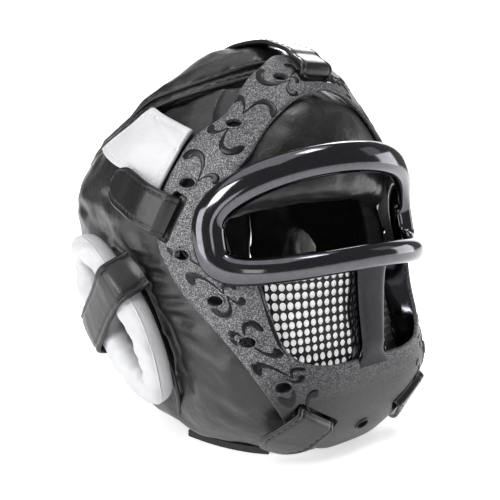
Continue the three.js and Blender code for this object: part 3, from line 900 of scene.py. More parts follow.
@dataclass(frozen=True)
class GlossFinish:
    """Polished black plastic, faintly uneven as mouldings are."""

    name: str = "polished_black"
    level: float = 0.010
    roughness: float = 0.10
    specular: float = 0.5
    metallic: float = 0.0

    def material(self) -> Material:
        """A faint swell in the surface and a little haze in the gloss.

        Returns:
            The material.
        """
        graph = Graph(self.name)
        swell = graph.noise(60.0, 2.0)
        haze = graph.noise(420.0, 3.0)
        colour = graph.mix(haze, grey(self.level * 0.8, 1.1), grey(self.level * 1.3, 1.1))
        return graph.finish(
            Base_Color=colour,
            Roughness=haze * 0.07 + (self.roughness - 0.03),
            Metallic=self.metallic,
            Normal=graph.bump(swell, 0.08, 0.0006),
            Specular_IOR_Level=self.specular,
        )


@dataclass(frozen=True)
class PlainFinish:
    """A matt sheet or tape with a fine weave."""

    name: str
    level: float
    roughness: float = 0.75
    # An even glow: it keeps the floor and backdrop evenly bright, and on the screen's backing it is painted
    # light.
    glow: float = 0.0

    def material(self) -> Material:
        """Fine noise in colour, roughness and bump.

        Returns:
            The material.
        """
        graph = Graph(self.name)
        weave = graph.noise(2400.0, 2.0)
        colour = graph.mix(weave, grey(self.level * 0.85), grey(self.level * 1.1))
        return graph.finish(
            Base_Color=colour,
            Roughness=weave * 0.12 + (self.roughness - 0.06),
            Normal=graph.bump(weave, 0.3, 0.0002),
            Emission_Color=grey(1.0),
            Emission_Strength=self.glow,
        )


@dataclass
class Wardrobe:
    """All materials of the object, made once."""

    leather: Material
    white: Material
    strap: Material
    moulded: Material
    gloss: Material
    bar: Material
    enamel: Material
    screen: Material
    backing: Material
    binding: Material
    thread: Material
    white_thread: Material

    @classmethod
    def made(cls) -> Wardrobe:
        """Builds every finish.

        Returns:
            The materials.
        """
        leather = LeatherFinish(
            "black_leather_cloth", 0.010, 0.30, relief=0.34, rumple=0.6, specular=0.38, coat=0.26,
        )
        white = LeatherFinish("white_leather_cloth", 0.54, 0.5, relief=0.16, rumple=0.6)
        strap = LeatherFinish(
            "strap_leather", 0.009, 0.27, pebble=0.8, relief=0.2, specular=0.32, coat=0.3,
        )
        return cls(
            leather=leather.material(),
            white=white.material(),
            strap=strap.material(),
            moulded=MouldedFinish().material(),
            gloss=GlossFinish("polished_black", 0.10, 0.095, metallic=1.0).material(),
            bar=GlossFinish("polished_black_bar", 0.03, 0.12, metallic=1.0).material(),
            enamel=GlossFinish("scroll_enamel", 0.006, 0.22, 0.22).material(),
            screen=PlainFinish("screen_black", 0.008, 0.55).material(),
            # The backing glows faintly: painted light that keeps the white seen through the screen's holes
            # bright in the shade behind the mouth windows.
            backing=PlainFinish("backing_white", 0.86, 0.8, glow=0.5).material(),
            binding=PlainFinish("binding_tape", 0.012, 0.7).material(),
            thread=PlainFinish("black_thread", 0.02, 0.5).material(),
            white_thread=PlainFinish("white_thread", 0.7, 0.6).material(),
        )


# Padded guard


@dataclass(frozen=True)
class Crease:
    """A fold pressed into a pad, from one angle and height on the guard to another."""

    angle: float
    height: float
    end_angle: float
    end_height: float
    depth: float
    width: float


@dataclass(frozen=True)
class Swelling:
    """The cloth that the pads' skins swell as, and how far a point may move."""

    quality: int = 4
    mass: float = 0.3
    pressure: float = 4.0
    stretch: float = 12.0
    bending: float = 0.4
    frames: int = 20
    most: float = 1.8

    def dress(self, pad: Piece) -> None:
        """Makes a pad weightless cloth under inside pressure.

        Args:
            pad: The pad.
        """
        cloth = pad.modifiers.new("Cloth", "CLOTH")
        cloth.settings.quality = self.quality
        cloth.settings.mass = self.mass
        cloth.settings.use_pressure = True
        cloth.settings.uniform_pressure_force = self.pressure
        cloth.settings.effector_weights.gravity = 0.0
        cloth.settings.tension_stiffness = self.stretch
        cloth.settings.compression_stiffness = self.stretch
        cloth.settings.bending_stiffness = self.bending
        cloth.point_cache.frame_start = 1
        cloth.point_cache.frame_end = self.frames


@dataclass
class PaddedGuard:
    """Side, forehead, back, crown and chin pads, and the piping in the crown groove."""

    wear: Wardrobe
    thickness: float = 16.0
    edge_radius: float = 7.0
    groove_height: float = 203.0
    groove_fall: float = 0.45
    groove_gap: float = 3.0
    crown_gap: float = 3.0
    apex: float = 231.0
    side_rear: float = 125.0
    side_bottom: float = 4.3
    side_flat_end: float = 84.0
    side_rise: float = 16.0
    brow_half: float = 58.0
    brow_height: float = 146.0
    back_front: float = 123.5
    nape_start: float = 158.0
    nape_rise: float = 16.0
    chin_top: float = 36.0
    brow_puff: float = 5.5
    crown_puff: float = 5.0
    brow_sag: float = 0.0045
    back_thickness: float = 14.0
    chin_thickness: float = 18.0
    chin_behind: float = 2.0
    chin_lap: float = 4.0
    side_tall: float = 195.0
    strap_reach: float = 30.0
    strap_press: float = 0.8
    slack: float = 1.5
    inner_slack: float = 0.8
    grid: int = 44
    voxel: float = 4.0
    swelling: Swelling = Swelling()
    arc_per_degree: float = 1.5
    ridge: float = 0.45
    ridge_place: float = 2.1
    pucker: float = 0.5
    waves: Layers = ((0.9, 42.0, 7), (0.3, 17.0, 8))
    pressed: float = 0.7
    piping: tuple[float, float, float] = (0.0, 3.6, 2.9)
    groove_folds: tuple[tuple[float, float, float], ...] = ((-5.4, 1.9, 1.5), (5.6, 0.9, 1.4))
    side_front: Pairs = (
        (0.0, 27), (0.2, 21), (0.25, 24), (0.3, 33), (0.37, 41), (0.5, 47), (0.7, 49), (1.0, 47.5),
    )
    creases: tuple[Crease, ...] = (
        Crease(88, 113, 75, 112, 1.7, 2.2),
        Crease(86, 106, 70, 104, 2.3, 2.4),
        Crease(84, 98, 68, 98, 2.0, 2.2),
        Crease(81, 90, 66, 92, 2.2, 2.4),
        Crease(78, 82, 64, 80, 1.5, 2.8),
        Crease(73, 72, 60, 62, 1.3, 3.2),
        Crease(70, 58, 58, 44, 1.4, 3.8),
        Crease(82, 58, 76, 30, 1.2, 4.0),
        Crease(66, 38, 52, 24, 1.2, 4.2),
        Crease(108, 128, 96, 118, 1.6, 3.6),
        Crease(116, 140, 106, 132, 1.4, 3.4),
        Crease(122, 150, 118, 128, 1.4, 3.8),
        Crease(86, 132, 78, 116, 1.2, 4.0),
        Crease(100, 148, 88, 140, 1.1, 4.0),
    )

    def groove(self, angle: Array) -> Array:
        """Height of the crown groove, where its falling plane meets the guard, by repeated steps.

        Args:
            angle: Degrees from the front.

        Returns:
            The heights.
        """
        height = np.full(np.shape(angle), self.groove_height)
        for _ in range(12):
            height = self.groove_height - self.groove_fall * GUARD.point(angle, height)[..., 1]
        return height

    def edge_drop(self, distance: Array) -> Array:
        """How far a padded face has dropped near its edge: a quarter circle."""
        inside = np.clip(self.edge_radius - distance, 0.0, self.edge_radius)
        return self.edge_radius - np.sqrt(self.edge_radius**2 - inside**2)

    def pad_top(self, angle: Array) -> Array:
        """Upper edge of the pads under the groove."""
        return self.groove(angle) - self.groove_gap

    def wall(
        self,
        front: Callable[[Array], Array],
        rear: Callable[[Array], Array],
        low: Callable[[Array], Array],
        high: Callable[[Array], Array],
        thickness: float,
        behind: float = 0.0,
        puff: float = 0.0,
    ) -> Form:
        """A pad between four edges: a wall whose outer face drops in a round at its seams.

        Args:
            front: Angle of the front edge at a share of the height.
            rear: Angle of the rear edge at a share of the height.
            low: Height of the lower edge at an angle.
            high: Height of the upper edge at an angle.
            thickness: Wall thickness.
            behind: How far the pad lies under the guard's surface.
            puff: How far its middle bulges beyond that surface.

        Returns:
            The pad, drawn in by the slack that the later swelling takes up.
        """
        share = crowd(np.linspace(0.0, 1.0, self.grid))
        u, v = np.meshgrid(share, share, indexing="ij")
        first, last = front(v), rear(v)
        angle = lerp(first, last, u)
        bottom, top = low(angle), high(angle)
        height = lerp(bottom, top, v)
        radius = np.abs(GUARD.point(angle, height)[..., 0]) + self.thickness
        side_gap = np.minimum(u, 1.0 - u) * np.radians(np.abs(last - first)) * radius
        foot = np.where(bottom <= self.side_bottom, self.edge_radius, height - bottom)
        drop = self.edge_drop(np.minimum(np.minimum(side_gap, top - height), foot))
        bulge = puff * ease(5.0 * np.minimum(u, 1.0 - u)) * ease(2.5 * np.minimum(v, 1.0 - v))
        outer = GUARD.at(angle, height, bulge - drop - behind - self.slack)
        inner = GUARD.at(angle, height, np.full_like(angle, -thickness - behind + self.inner_slack))
        flat = (v == 0.0) & (bottom <= self.side_bottom)
        for sheet in (outer, inner):
            sheet[..., 2] = np.where(flat, bottom, sheet[..., 2])
        return Form.slab(outer, inner)

    def side_low(self, angle: Array) -> Array:
        """Lower edge of a side pad: flat under the cheek, then rising behind the ear."""
        t = np.maximum(np.abs(angle) - self.side_flat_end, 0.0) / (self.side_rear - self.side_flat_end)
        return lerp(self.side_bottom, self.side_rise, t)

    def front_edge(self, share: Array) -> Array:
        """Angle of a side pad's front edge, from its table by straight pieces."""
        table = np.asarray(self.side_front)
        return np.interp(share, table[:, 0], table[:, 1])

    def side_form(self, side: Side) -> Form:
        """Cheek, temple and ear surround in one wall.

        Args:
            side: The wearer's side.

        Returns:
            The closed form.
        """
        sign = float(side.value)
        return self.wall(
            lambda v: sign * self.front_edge(v),
            lambda v: np.full_like(v, sign * self.side_rear),
            self.side_low,
            self.pad_top,
            self.thickness,
        )

    def brow_form(self) -> Form:
        """Forehead wall between the two side pads.

        Returns:
            The closed form.
        """
        return self.wall(
            lambda v: np.full_like(v, -self.brow_half),
            lambda v: np.full_like(v, self.brow_half),
            lambda a: self.brow_height - self.brow_sag * a**2,
            self.pad_top,
            self.thickness,
            puff=self.brow_puff,
        )

    def back_form(self) -> Form:
        """Back of the head, down to the nape.

        Returns:
            The closed form.
        """

        def low(angle: Array) -> Array:
            """Lower edge: on the floor at the nape, a little higher behind the ears."""
            t = (np.abs(180.0 - angle) - (180.0 - self.nape_start)) / (self.nape_start - self.back_front)
            return self.nape_rise * ease(np.maximum(t, 0.0))

        return self.wall(
            lambda v: np.full_like(v, self.back_front),
            lambda v: np.full_like(v, 360.0 - self.back_front),
            low,
            self.pad_top,
            self.back_thickness,
        )

    def chin_form(self) -> Form:
        """Chin pad, up to the front edges of the side pads.

        Returns:
            The closed form.
        """

        def edge(share: Array) -> Array:
            """Angle of the chin pad's edge."""
            up = np.maximum(share * self.chin_top - self.side_bottom, 0.0) / self.side_tall
            return self.front_edge(up) + self.chin_lap

        return self.wall(
            lambda v: -edge(v),
            edge,
            np.zeros_like,
            lambda a: np.full_like(a, self.chin_top),
            self.chin_thickness,
            self.chin_behind,
        )

    def crown_form(self) -> Form:
        """Dome above the groove: rings of the guard from its edge to the apex, outside and inside.

        Returns:
            The closed form.
        """
        rings, columns = 26, 96
        angle = np.linspace(0.0, 360.0, columns, endpoint=False)[None, :]
        rise = np.linspace(0.0, 1.0, rings)[:-1, None]
        low = self.groove(angle[0])[None, :] + self.crown_gap
        height = lerp(low, self.apex, 1.0 - (1.0 - rise) ** 2)
        angles = np.broadcast_to(angle, height.shape)
        under_strap = bell((angles + 180.0) % 360.0 - 180.0, self.strap_reach)
        drop = self.edge_drop((height - low) * 1.6) * (1.0 - self.strap_press * under_strap)
        bulge = self.crown_puff * ease((height - low) / 8.0) * (0.6 + 0.4 * np.cos(np.radians(angles)))
        outer = GUARD.at(angles, height, bulge - drop - self.slack)
        inner = GUARD.at(angles, height, np.full_like(height, -self.thickness + self.inner_slack))
        count = outer.shape[0] * columns
        faces = Form.quads(outer.shape[0], columns, False, True)
        apex = [
            [0.0, GUARD.centre, self.apex + 0.6 * self.crown_puff - self.slack],
            [0.0, GUARD.centre, self.apex - self.thickness],
        ]
        points = np.concatenate([outer.reshape(-1, 3), inner.reshape(-1, 3), np.array(apex)])
        k = np.arange(columns)
        following = (k + 1) % columns
        top = (outer.shape[0] - 1) * columns
        outer_cap = np.stack([np.full_like(k, 2 * count), top + following, top + k], axis=-1)
        inner_cap = np.stack([np.full_like(k, 2 * count + 1), top + k, top + following], axis=-1)
        inner_cap[:, 1:] += count
        rim = np.stack([k, k + count, following + count, following], axis=-1)
        sheets = (faces[:, ::-1], faces + count, outer_cap, inner_cap, rim)
        return Form(points, [face for sheet in sheets for face in sheet.tolist()]).outward()

    def press_creases(self, piece: Piece) -> None:
        """Presses folds and puckers into a settled pad.

        A fold drops the surface by a bell across the shortest way to its line, and tapers to the
        line's ends. Puckers are waves along the groove and the rear seams that die away from them.

        Args:
            piece: The pad.
        """
        mesh = piece.data
        points, normals = mesh_points(mesh), mesh_vectors(mesh.vertex_normals, "vector")
        angle = GUARD.angle_at(points)
        out = GUARD.axes(angle, np.clip(points[:, 2], 1.0, 229.0))[3]
        outside = ease((np.einsum("ij,ij->i", normals, out) - 0.1) / 0.5)
        run = np.abs(angle) * self.arc_per_degree
        drop = np.zeros(len(points))
        for crease in self.creases:
            start = np.array([crease.angle * self.arc_per_degree, crease.height])
            way = np.array([crease.end_angle * self.arc_per_degree, crease.end_height]) - start
            offset = np.stack([run, points[:, 2]], axis=-1) - start
            t = np.clip(offset @ way / (way @ way), 0.0, 1.0)
            distance = np.linalg.norm(offset - t[:, None] * way, axis=-1)
            valley = bell(distance, crease.width)
            ridge = bell(distance / crease.width - self.ridge_place, 1.0)
            taper = np.sin(np.pi * np.clip(t * 0.9 + 0.05, 0.0, 1.0))
            drop += crease.depth * (valley - self.ridge * ridge) * taper
        plane = (points[:, 2] - self.groove_height + self.groove_fall * points[:, 1]) / 1.1
        from_groove = np.abs(plane)
        from_seam = np.abs(np.abs(angle) - self.side_rear) * self.arc_per_degree
        puckers = np.sin(angle * 0.52 + ripple(points, 30.0, 4)) * np.exp(-from_groove / 9.0)
        puckers += 0.8 * np.sin(points[:, 2] * 0.55 + ripple(points, 25.0, 5)) * np.exp(-from_seam / 8.0)
        shift = (-drop + self.pucker * puckers + ripples(points, self.waves) - self.pressed) * outside
        set_mesh_points(mesh, points + normals * shift[:, None])

    def settle(self, pads: Sequence[Piece], floors: Sequence[float]) -> None:
        """Swells all pads together as cloth under inside pressure, and caps how far a point moves.

        Args:
            pads: The pads, as built.
            floors: The lowest height that each may reach.
        """
        for pad in pads:
            remesh = pad.modifiers.new("Remesh", "REMESH")
            remesh.mode = "VOXEL"
            remesh.voxel_size = self.voxel * MILLIMETRE
            bake_modifiers(pad)
        start = [mesh_points(pad.data) for pad in pads]
        scene = bpy.context.scene
        for pad in pads:
            self.swelling.dress(pad)
        for number in range(1, self.swelling.frames + 1):
            scene.frame_set(number)
        graph = bpy.context.evaluated_depsgraph_get()
        swollen = [mesh_points(pad.evaluated_get(graph).to_mesh()) for pad in pads]
        for pad in pads:
            pad.evaluated_get(graph).to_mesh_clear()
            pad.modifiers.clear()
        scene.frame_set(1)
        for pad, before, after, floor in zip(pads, start, swollen, floors):
            move = after - before
            length = np.linalg.norm(move, axis=-1, keepdims=True)
            move = move * np.minimum(1.0, self.swelling.most / np.maximum(length, 1e-6))
            subdivide(pad, before + move)
            self.press_creases(pad)
            points = mesh_points(pad.data)
            points[:, 2] = np.maximum(points[:, 2], floor)
            set_mesh_points(pad.data, points)
            smooth(pad.data, 180.0)

    def cord(self, lift: float, depth: float, thick: float) -> Form:
        """Round cord along the groove, gathered by small puckers.

        Args:
            lift: Above the groove's middle.
            depth: Under the guard's surface.
            thick: Radius of the cord.

        Returns:
            The closed cord.
        """
        t = np.linspace(0.0, 1.0, 300, endpoint=False)[:, None]
        turn = circle(14)[None, :]
        angle = t * 360.0
        origin, _, up, out = GUARD.axes(angle, self.groove(angle))
        radius = thick * (1.0 + 0.06 * np.sin(t * 2 * np.pi * 60 + 1.5 * np.sin(t * 2 * np.pi * 7)))
        offset = radius * np.cos(turn) - depth
        rise = radius * np.sin(turn) + lift
        return Form.ring(origin + out * offset[..., None] + up * rise[..., None])

    def build(self) -> None:
        """Builds, swells and dresses every pad."""
        ear = EarGuards(self.wear)
        pads: list[Piece] = []
        names: list[str] = []
        for side in Side:
            pad = self.side_form(side).object(f"side_pad_{side.word}_soft")
            cut_away(pad, ear.drill(side), 60.0)
            pads.append(pad)
            names.append(f"side_pad_{side.word}")
        for name, form in (
            ("forehead_pad", self.brow_form()), ("back_pad", self.back_form()),
            ("crown_pad", self.crown_form()), ("chin_pad", self.chin_form()),
        ):
            pads.append(form.object(f"{name}_soft"))
            names.append(name)
        floors = [self.side_bottom, self.side_bottom, 0.0, 0.0, 0.0, 0.0]
        self.settle(pads, floors)
        for pad, name in zip(pads, names):
            register(pad, self.wear.leather, Slot.BLACK_LEATHER, (name,))
        piping = self.cord(*self.piping).object("crown_piping_cord")
        register(piping, self.wear.strap, Slot.BLACK_LEATHER, ("crown_piping",))
        folds = Form.joined([self.cord(*fold) for fold in self.groove_folds])
        register(folds.object("crown_groove_folds"), self.wear.strap, Slot.BLACK_LEATHER)


# Ears


@dataclass
class EarGuards:
    """White padded rings round the ear holes, the straps across them, and the welt in front."""

    wear: Wardrobe
    centre_y: float = 9.8
    centre_z: float = 79.0
    tilt: float = 35.3
    half_long: float = 45.5
    half_short: float = 16.3
    tube_wide: float = 7.0
    tube_tall: float = 8.0
    lift: float = 0.6
    hole_long: float = 42.0
    hole_short: float = 12.5
    drill_reach: tuple[float, float] = (30.0, 130.0)
    gather: float = 0.08
    gathers: float = 19.0
    inner_puff: float = 0.3
    lumps: Layers = ((1.2, 15.0, 21), (0.5, 7.0, 22))
    seam_place: float = 28.0
    welt_wide: float = 1.7
    welt_tall: float = 1.5
    welt_sink: float = 0.9
    strap_along: float = 12.5
    strap_width: float = 24.0
    strap_thickness: float = 2.4
    strap_slant: float = 6.0
    strap_way: Pairs = (
        (-1.3, 1.0), (-1.18, 4.7), (-1.08, 10.9), (-0.97, 15.7), (-0.8, 17.5), (-0.4, 17.7),
        (0.4, 17.7), (0.8, 17.5), (0.95, 15.9), (1.06, 11.7), (1.12, 7.3), (1.13, 4.3),
    )
    welt_way: Pairs = (
        (99, 118), (93.1, 107.6), (85.3, 89.5), (82.8, 66.2), (82.0, 43.4), (81.9, 29.9), (83.4, 15.0),
    )

    def slanted(self, along: Array, across: Array) -> tuple[Array, Array]:
        """Places on the ear's long and short axes.

        Args:
            along: Along the long axis.
            across: Along the short axis.

        Returns:
            Depth and height.
        """
        sine, cosine = math.sin(math.radians(self.tilt)), math.cos(math.radians(self.tilt))
        y = self.centre_y + along * sine + across * cosine
        return y, self.centre_z + along * cosine - across * sine

    def point(self, side: Side, along: Array, across: Array, offset: Array) -> Array:
        """Places on the ear's axes, carried out to the guard.

        Args:
            side: The wearer's side.
            along: Along the long axis.
            across: Along the short axis.
            offset: Off the guard.

        Returns:
            The points.
        """
        y, z = self.slanted(along, across)
        ahead = y < GUARD.centre
        square, reach = GUARD.half(ahead, z)
        cosine = np.clip((y - GUARD.centre) / reach, 0.0, 1.0) ** (square / 2.0)
        from_front = np.degrees(np.arccos(cosine))
        angle = np.where(ahead, from_front, 180.0 - from_front)
        return GUARD.at(side.value * angle, z, offset)

    def drill(self, side: Side) -> Form:
        """The ear hole as an oval cutter along X.

        Args:
            side: The wearer's side.

        Returns:
            The closed form.
        """
        turn = circle(40)
        y, z = self.slanted(self.hole_long * np.cos(turn), self.hole_short * np.sin(turn))
        ends = [np.stack([np.full_like(y, -side.value * x), y, z], axis=-1) for x in self.drill_reach]
        return Form.tube(np.stack(ends))

    def ring(self, side: Side) -> Form:
        """Padded oval ring: an ellipse whose round section is gathered towards the hole.

        Args:
            side: The wearer's side.

        Returns:
            The closed form.
        """
        oval = circle(150)[:, None]
        turn = circle(40)[None, :]
        inner = np.clip(-np.cos(turn), 0.0, 1.0)
        gather = 1.0 + self.gather * inner * np.sin(self.gathers * oval + 1.4 * np.sin(3.0 * oval))
        dent = 1.0 - 0.05 * np.clip(np.sin(2.0 * oval + 0.6), 0.0, 1.0) ** 3 * (0.5 + 0.5 * np.sin(turn))
        scale = gather * dent
        grow = self.tube_wide * signed_power(np.cos(turn), 0.9) * scale * (1.0 + self.inner_puff * inner)
        offset = self.lift + self.tube_tall * (1.0 + signed_power(np.sin(turn), 0.88) * scale)
        along = (self.half_long + grow) * np.cos(oval)
        across = (self.half_short + grow) * np.sin(oval)
        points = self.point(side, along, across, offset)
        lumps = ripples(points, self.lumps)
        out = GUARD.axes(GUARD.angle_at(points), points[..., 2])[3]
        return Form.ring(points + out * (lumps * np.clip(np.sin(turn), 0.0, 1.0))[..., None])

    def ring_seam(self, side: Side) -> Form:
        """Thin raised seam round the outer shoulder of the ring.

        Args:
            side: The wearer's side.

        Returns:
            The closed form.
        """
        oval = circle(220)[:, None]
        turn = circle(8)[None, :]
        shoulder = math.radians(self.seam_place)
        grow = (self.tube_wide + 0.55 * np.cos(turn)) * math.cos(shoulder)
        offset = self.lift + self.tube_tall * (1.0 + math.sin(shoulder)) + 0.6 * np.sin(turn)
        offset = offset + 0.08 * np.sin(oval * 60)
        along = (self.half_long + grow) * np.cos(oval)
        across = (self.half_short + grow) * np.sin(oval)
        return Form.ring(self.point(side, along, across, offset))

    def strap(self, side: Side) -> Form:
        """Leather strap over the ring: a band on a table of shares of the ring's half width.

        Args:
            side: The wearer's side.

        Returns:
            The closed form.
        """
        table = np.asarray(self.strap_way)
        way = open_curve(table, np.linspace(0.0, 1.0, 72))
        section = strap_section(self.strap_width, self.strap_thickness)
        along = self.strap_along + section[None, :, 0] - self.strap_slant * (way[:, :1] + 1.0)
        half = self.half_short + self.tube_wide
        across = half * np.sqrt(1.0 - (along / (self.half_long + self.tube_wide)) ** 2)
        outwards = 1.0 + section[None, :, 1] / half
        share = way[:, :1] * np.ones_like(along)
        crease = 0.1 * np.sin(way[:, :1] * 21.0 + along * 0.18)
        height = way[:, 1:] + section[None, :, 1] + crease * (section[None, :, 1] > 1.0)
        return Form.tube(self.point(side, along, share * across * outwards, height))

    def welt(self, side: Side) -> Form:
        """Cord welt on the cheek in front of the ear.

        Args:
            side: The wearer's side.

        Returns:
            The closed form.
        """
        way = open_curve(np.asarray(self.welt_way, float), np.linspace(0.0, 1.0, 120))
        turn = circle(12)[None, :]
        angle, height = side.value * way[:, :1], way[:, 1:]
        origin, along, _, out = GUARD.axes(angle, height)
        taper = np.sqrt(np.clip(np.sin(np.linspace(0.0, np.pi, 120)), 0.02, 1.0))[:, None] ** 0.4
        lift = self.welt_tall * taper * np.sin(turn) - self.welt_sink
        aside = self.welt_wide * taper * np.cos(turn)
        return Form.tube(origin + out * lift[..., None] + along * aside[..., None])

    def build(self) -> None:
        """Builds and dresses both ears."""
        for side in Side:
            ring = self.ring(side).object(f"ear_ring_{side.word}_soft")
            register(ring, self.wear.white, Slot.WHITE_LEATHER, (f"ear_ring_{side.word}",))
            seam = self.ring_seam(side).object(f"ear_ring_seam_{side.word}")
            register(seam, self.wear.white, Slot.WHITE_LEATHER)
            strap = self.strap(side).object(f"ear_strap_{side.word}_soft")
            register(strap, self.wear.strap, Slot.STRAP, (f"ear_strap_{side.word}",))
            welt = self.welt(side).object(f"cheek_welt_{side.word}")
            register(welt, self.wear.leather, Slot.BLACK_LEATHER)


def strap_section(width: float, thickness: float) -> Array:
    """Section of a strap, round at its edges, with a channel for the stitches near each.

    Args:
        width: Across the strap.
        thickness: Of the strap.

    Returns:
        Rows of across and height, once round the section.
    """
    half = width / 2.0
    across = half * np.sin(np.linspace(-np.pi / 2.0, np.pi / 2.0, 45))
    from_edge = half - np.abs(across)
    shoulder = quarter_round(from_edge / (0.55 * thickness))
    channel = 0.45 * bell(from_edge - STITCH_INSET, 0.7)
    crown = 0.35 * (1.0 - (across / half) ** 2)
    top = thickness * (0.5 + 0.5 * shoulder) - channel + crown
    bottom = thickness * (0.5 - 0.5 * shoulder)
    upper = np.stack([across, top], axis=-1)
    lower = np.stack([across[::-1], bottom[::-1]], axis=-1)
    return np.concatenate([upper, lower[1:-1]])


def stitch_row(path: Array, out: Array, length: float = 3.2, gap: float = 1.5, thick: float = 0.42) -> Form:
    """Stitches along a line: small round-ended grains, one after another.

    Args:
        path: Points of the line.
        out: Outward axis at each point.
        length: Of a stitch.
        gap: Between stitches.
        thick: Half thickness of the thread.

    Returns:
        All stitches as one form.
    """
    run = run_along(path)
    places = np.arange(gap, run[-1] - gap, length + gap)

    def read(line: Array, shift: float = 0.0) -> Array:
        """Values of a line at the stitches, or a shift further on."""
        return np.stack([np.interp(places + shift, run, line[:, k]) for k in range(3)], axis=-1)

    normal = unit(read(out))
    along = unit(read(path, 0.5) - read(path, -0.5))
    across = unit(np.cross(normal, along))
    bend = np.linspace(0.0, np.pi, 7)[1:-1, None]
    turn = circle(6)[None, :]
    x = -np.cos(bend) * length / 2.0 + 0.0 * turn
    y = thick * np.sin(bend) * np.cos(turn)
    z = thick * np.sin(bend) * np.sin(turn) + 0.1 * np.sin(bend)
    grain = Form.tube(np.stack([x, y, z], axis=-1))
    return Form.copies(grain, read(path), np.stack([along, across, normal], axis=1))


# White side panels


@dataclass
class SidePanels:
    """White panels sewn on the upper sides, each between four corners on the guard."""

    wear: Wardrobe
    guard: PaddedGuard
    front_top: tuple[float, float] = (60.0, 182.0)
    rear_top: tuple[float, float] = (86.0, 196.0)
    front_bottom: tuple[float, float] = (69.5, 150.0)
    rear_bottom: tuple[float, float] = (108.0, 171.0)
    thickness: float = 1.6
    above: float = 0.9
    fold_front: float = 0.66
    long: float = 62.0
    tall: float = 33.0
    sewn: float = 3.4
    hem: float = 1.4

    def place(self, u: Array, v: Array) -> tuple[Array, Array]:
        """Places on the panel, straight between its four corners.

        Args:
            u: Shares along the panel.
            v: Shares up the panel.

        Returns:
            Angle and height.
        """
        low = lerp(np.array(self.front_bottom), np.array(self.rear_bottom), u[..., None])
        high = lerp(np.array(self.front_top), np.array(self.rear_top), u[..., None])
        spot = lerp(low, high, v[..., None])
        return spot[..., 0], spot[..., 1]

    def lie(self, side: Side, u: Array, v: Array, offset: Array) -> Array:
        """Points on the panel, which follows the pad's rounded upper edge.

        Args:
            side: The wearer's side.
            u: Shares along the panel.
            v: Shares up the panel.
            offset: Off the panel's underside.

        Returns:
            The points.
        """
        angle, height = self.place(u, v)
        drop = self.guard.edge_drop(self.guard.pad_top(angle) - height)
        return GUARD.at(side.value * angle, height, self.above - 0.8 * drop + offset)

    def panel(self, side: Side) -> Form:
        """A thin cushioned sheet: round at its hem, with a shallow sewn channel inside it.

        Args:
            side: The wearer's side.

        Returns:
            The closed form.
        """
        u, v = np.meshgrid(crowd(np.linspace(0, 1, 64)), crowd(np.linspace(0, 1, 44)), indexing="ij")
        from_edge = np.minimum(np.minimum(u, 1.0 - u) * self.long, np.minimum(v, 1.0 - v) * self.tall)
        hem = quarter_round(from_edge / self.hem)
        fold = (v - lerp(self.fold_front, 1.0, u)) * self.tall
        channel = 0.5 * bell(from_edge - self.sewn, 0.8)
        channel = channel + 0.7 * bell(fold, 0.7) - 0.6 * ease((fold + 0.7) / 1.4)
        puff = 0.5 * ease(from_edge / 12.0)
        outer = self.lie(side, u, v, self.thickness * hem - channel * hem + puff)
        inner = self.lie(side, u, v, np.full_like(u, -0.2))
        return Form.slab(outer, inner)

    def stitches(self, side: Side) -> Form:
        """Stitches in the channel, along all four edges.

        Args:
            side: The wearer's side.

        Returns:
            The closed form.
        """
        t = np.linspace(0.0, 1.0, 160)
        a, b = self.sewn / self.long, self.sewn / self.tall
        along, up = lerp(a, 1.0 - a, t), lerp(b, 1.0 - b, t)
        edges = (
            (along, np.full_like(t, b)), (along, np.full_like(t, 1.0 - b)),
            (np.full_like(t, a), up), (np.full_like(t, 1.0 - a), up),
        )
        forms = []
        for u, v in edges:
            angle, height = self.place(u, v)
            out = GUARD.axes(side.value * angle, height)[3]
            way = self.lie(side, u, v, np.full_like(u, self.thickness - 0.35))
            forms.append(stitch_row(way, out, 2.6, 1.3, 0.36))
        return Form.joined(forms)

    def build(self) -> None:
        """Builds and dresses both panels."""
        for side in Side:
            panel = self.panel(side).object(f"white_panel_{side.word}_sheet")
            register(panel, self.wear.white, Slot.WHITE_LEATHER, (f"white_panel_{side.word}",))
            stitches = self.stitches(side).object(f"white_panel_stitches_{side.word}")
            register(stitches, self.wear.white_thread, Slot.WHITE_LEATHER)


# Face mask


def folded_back(x: Array) -> Array:
    """How much deeper the walls and sheets of the mouth windows lie, this far off the middle."""
    return FOLD_SLOPE * np.maximum(np.abs(x) - FOLD_START, 0.0)


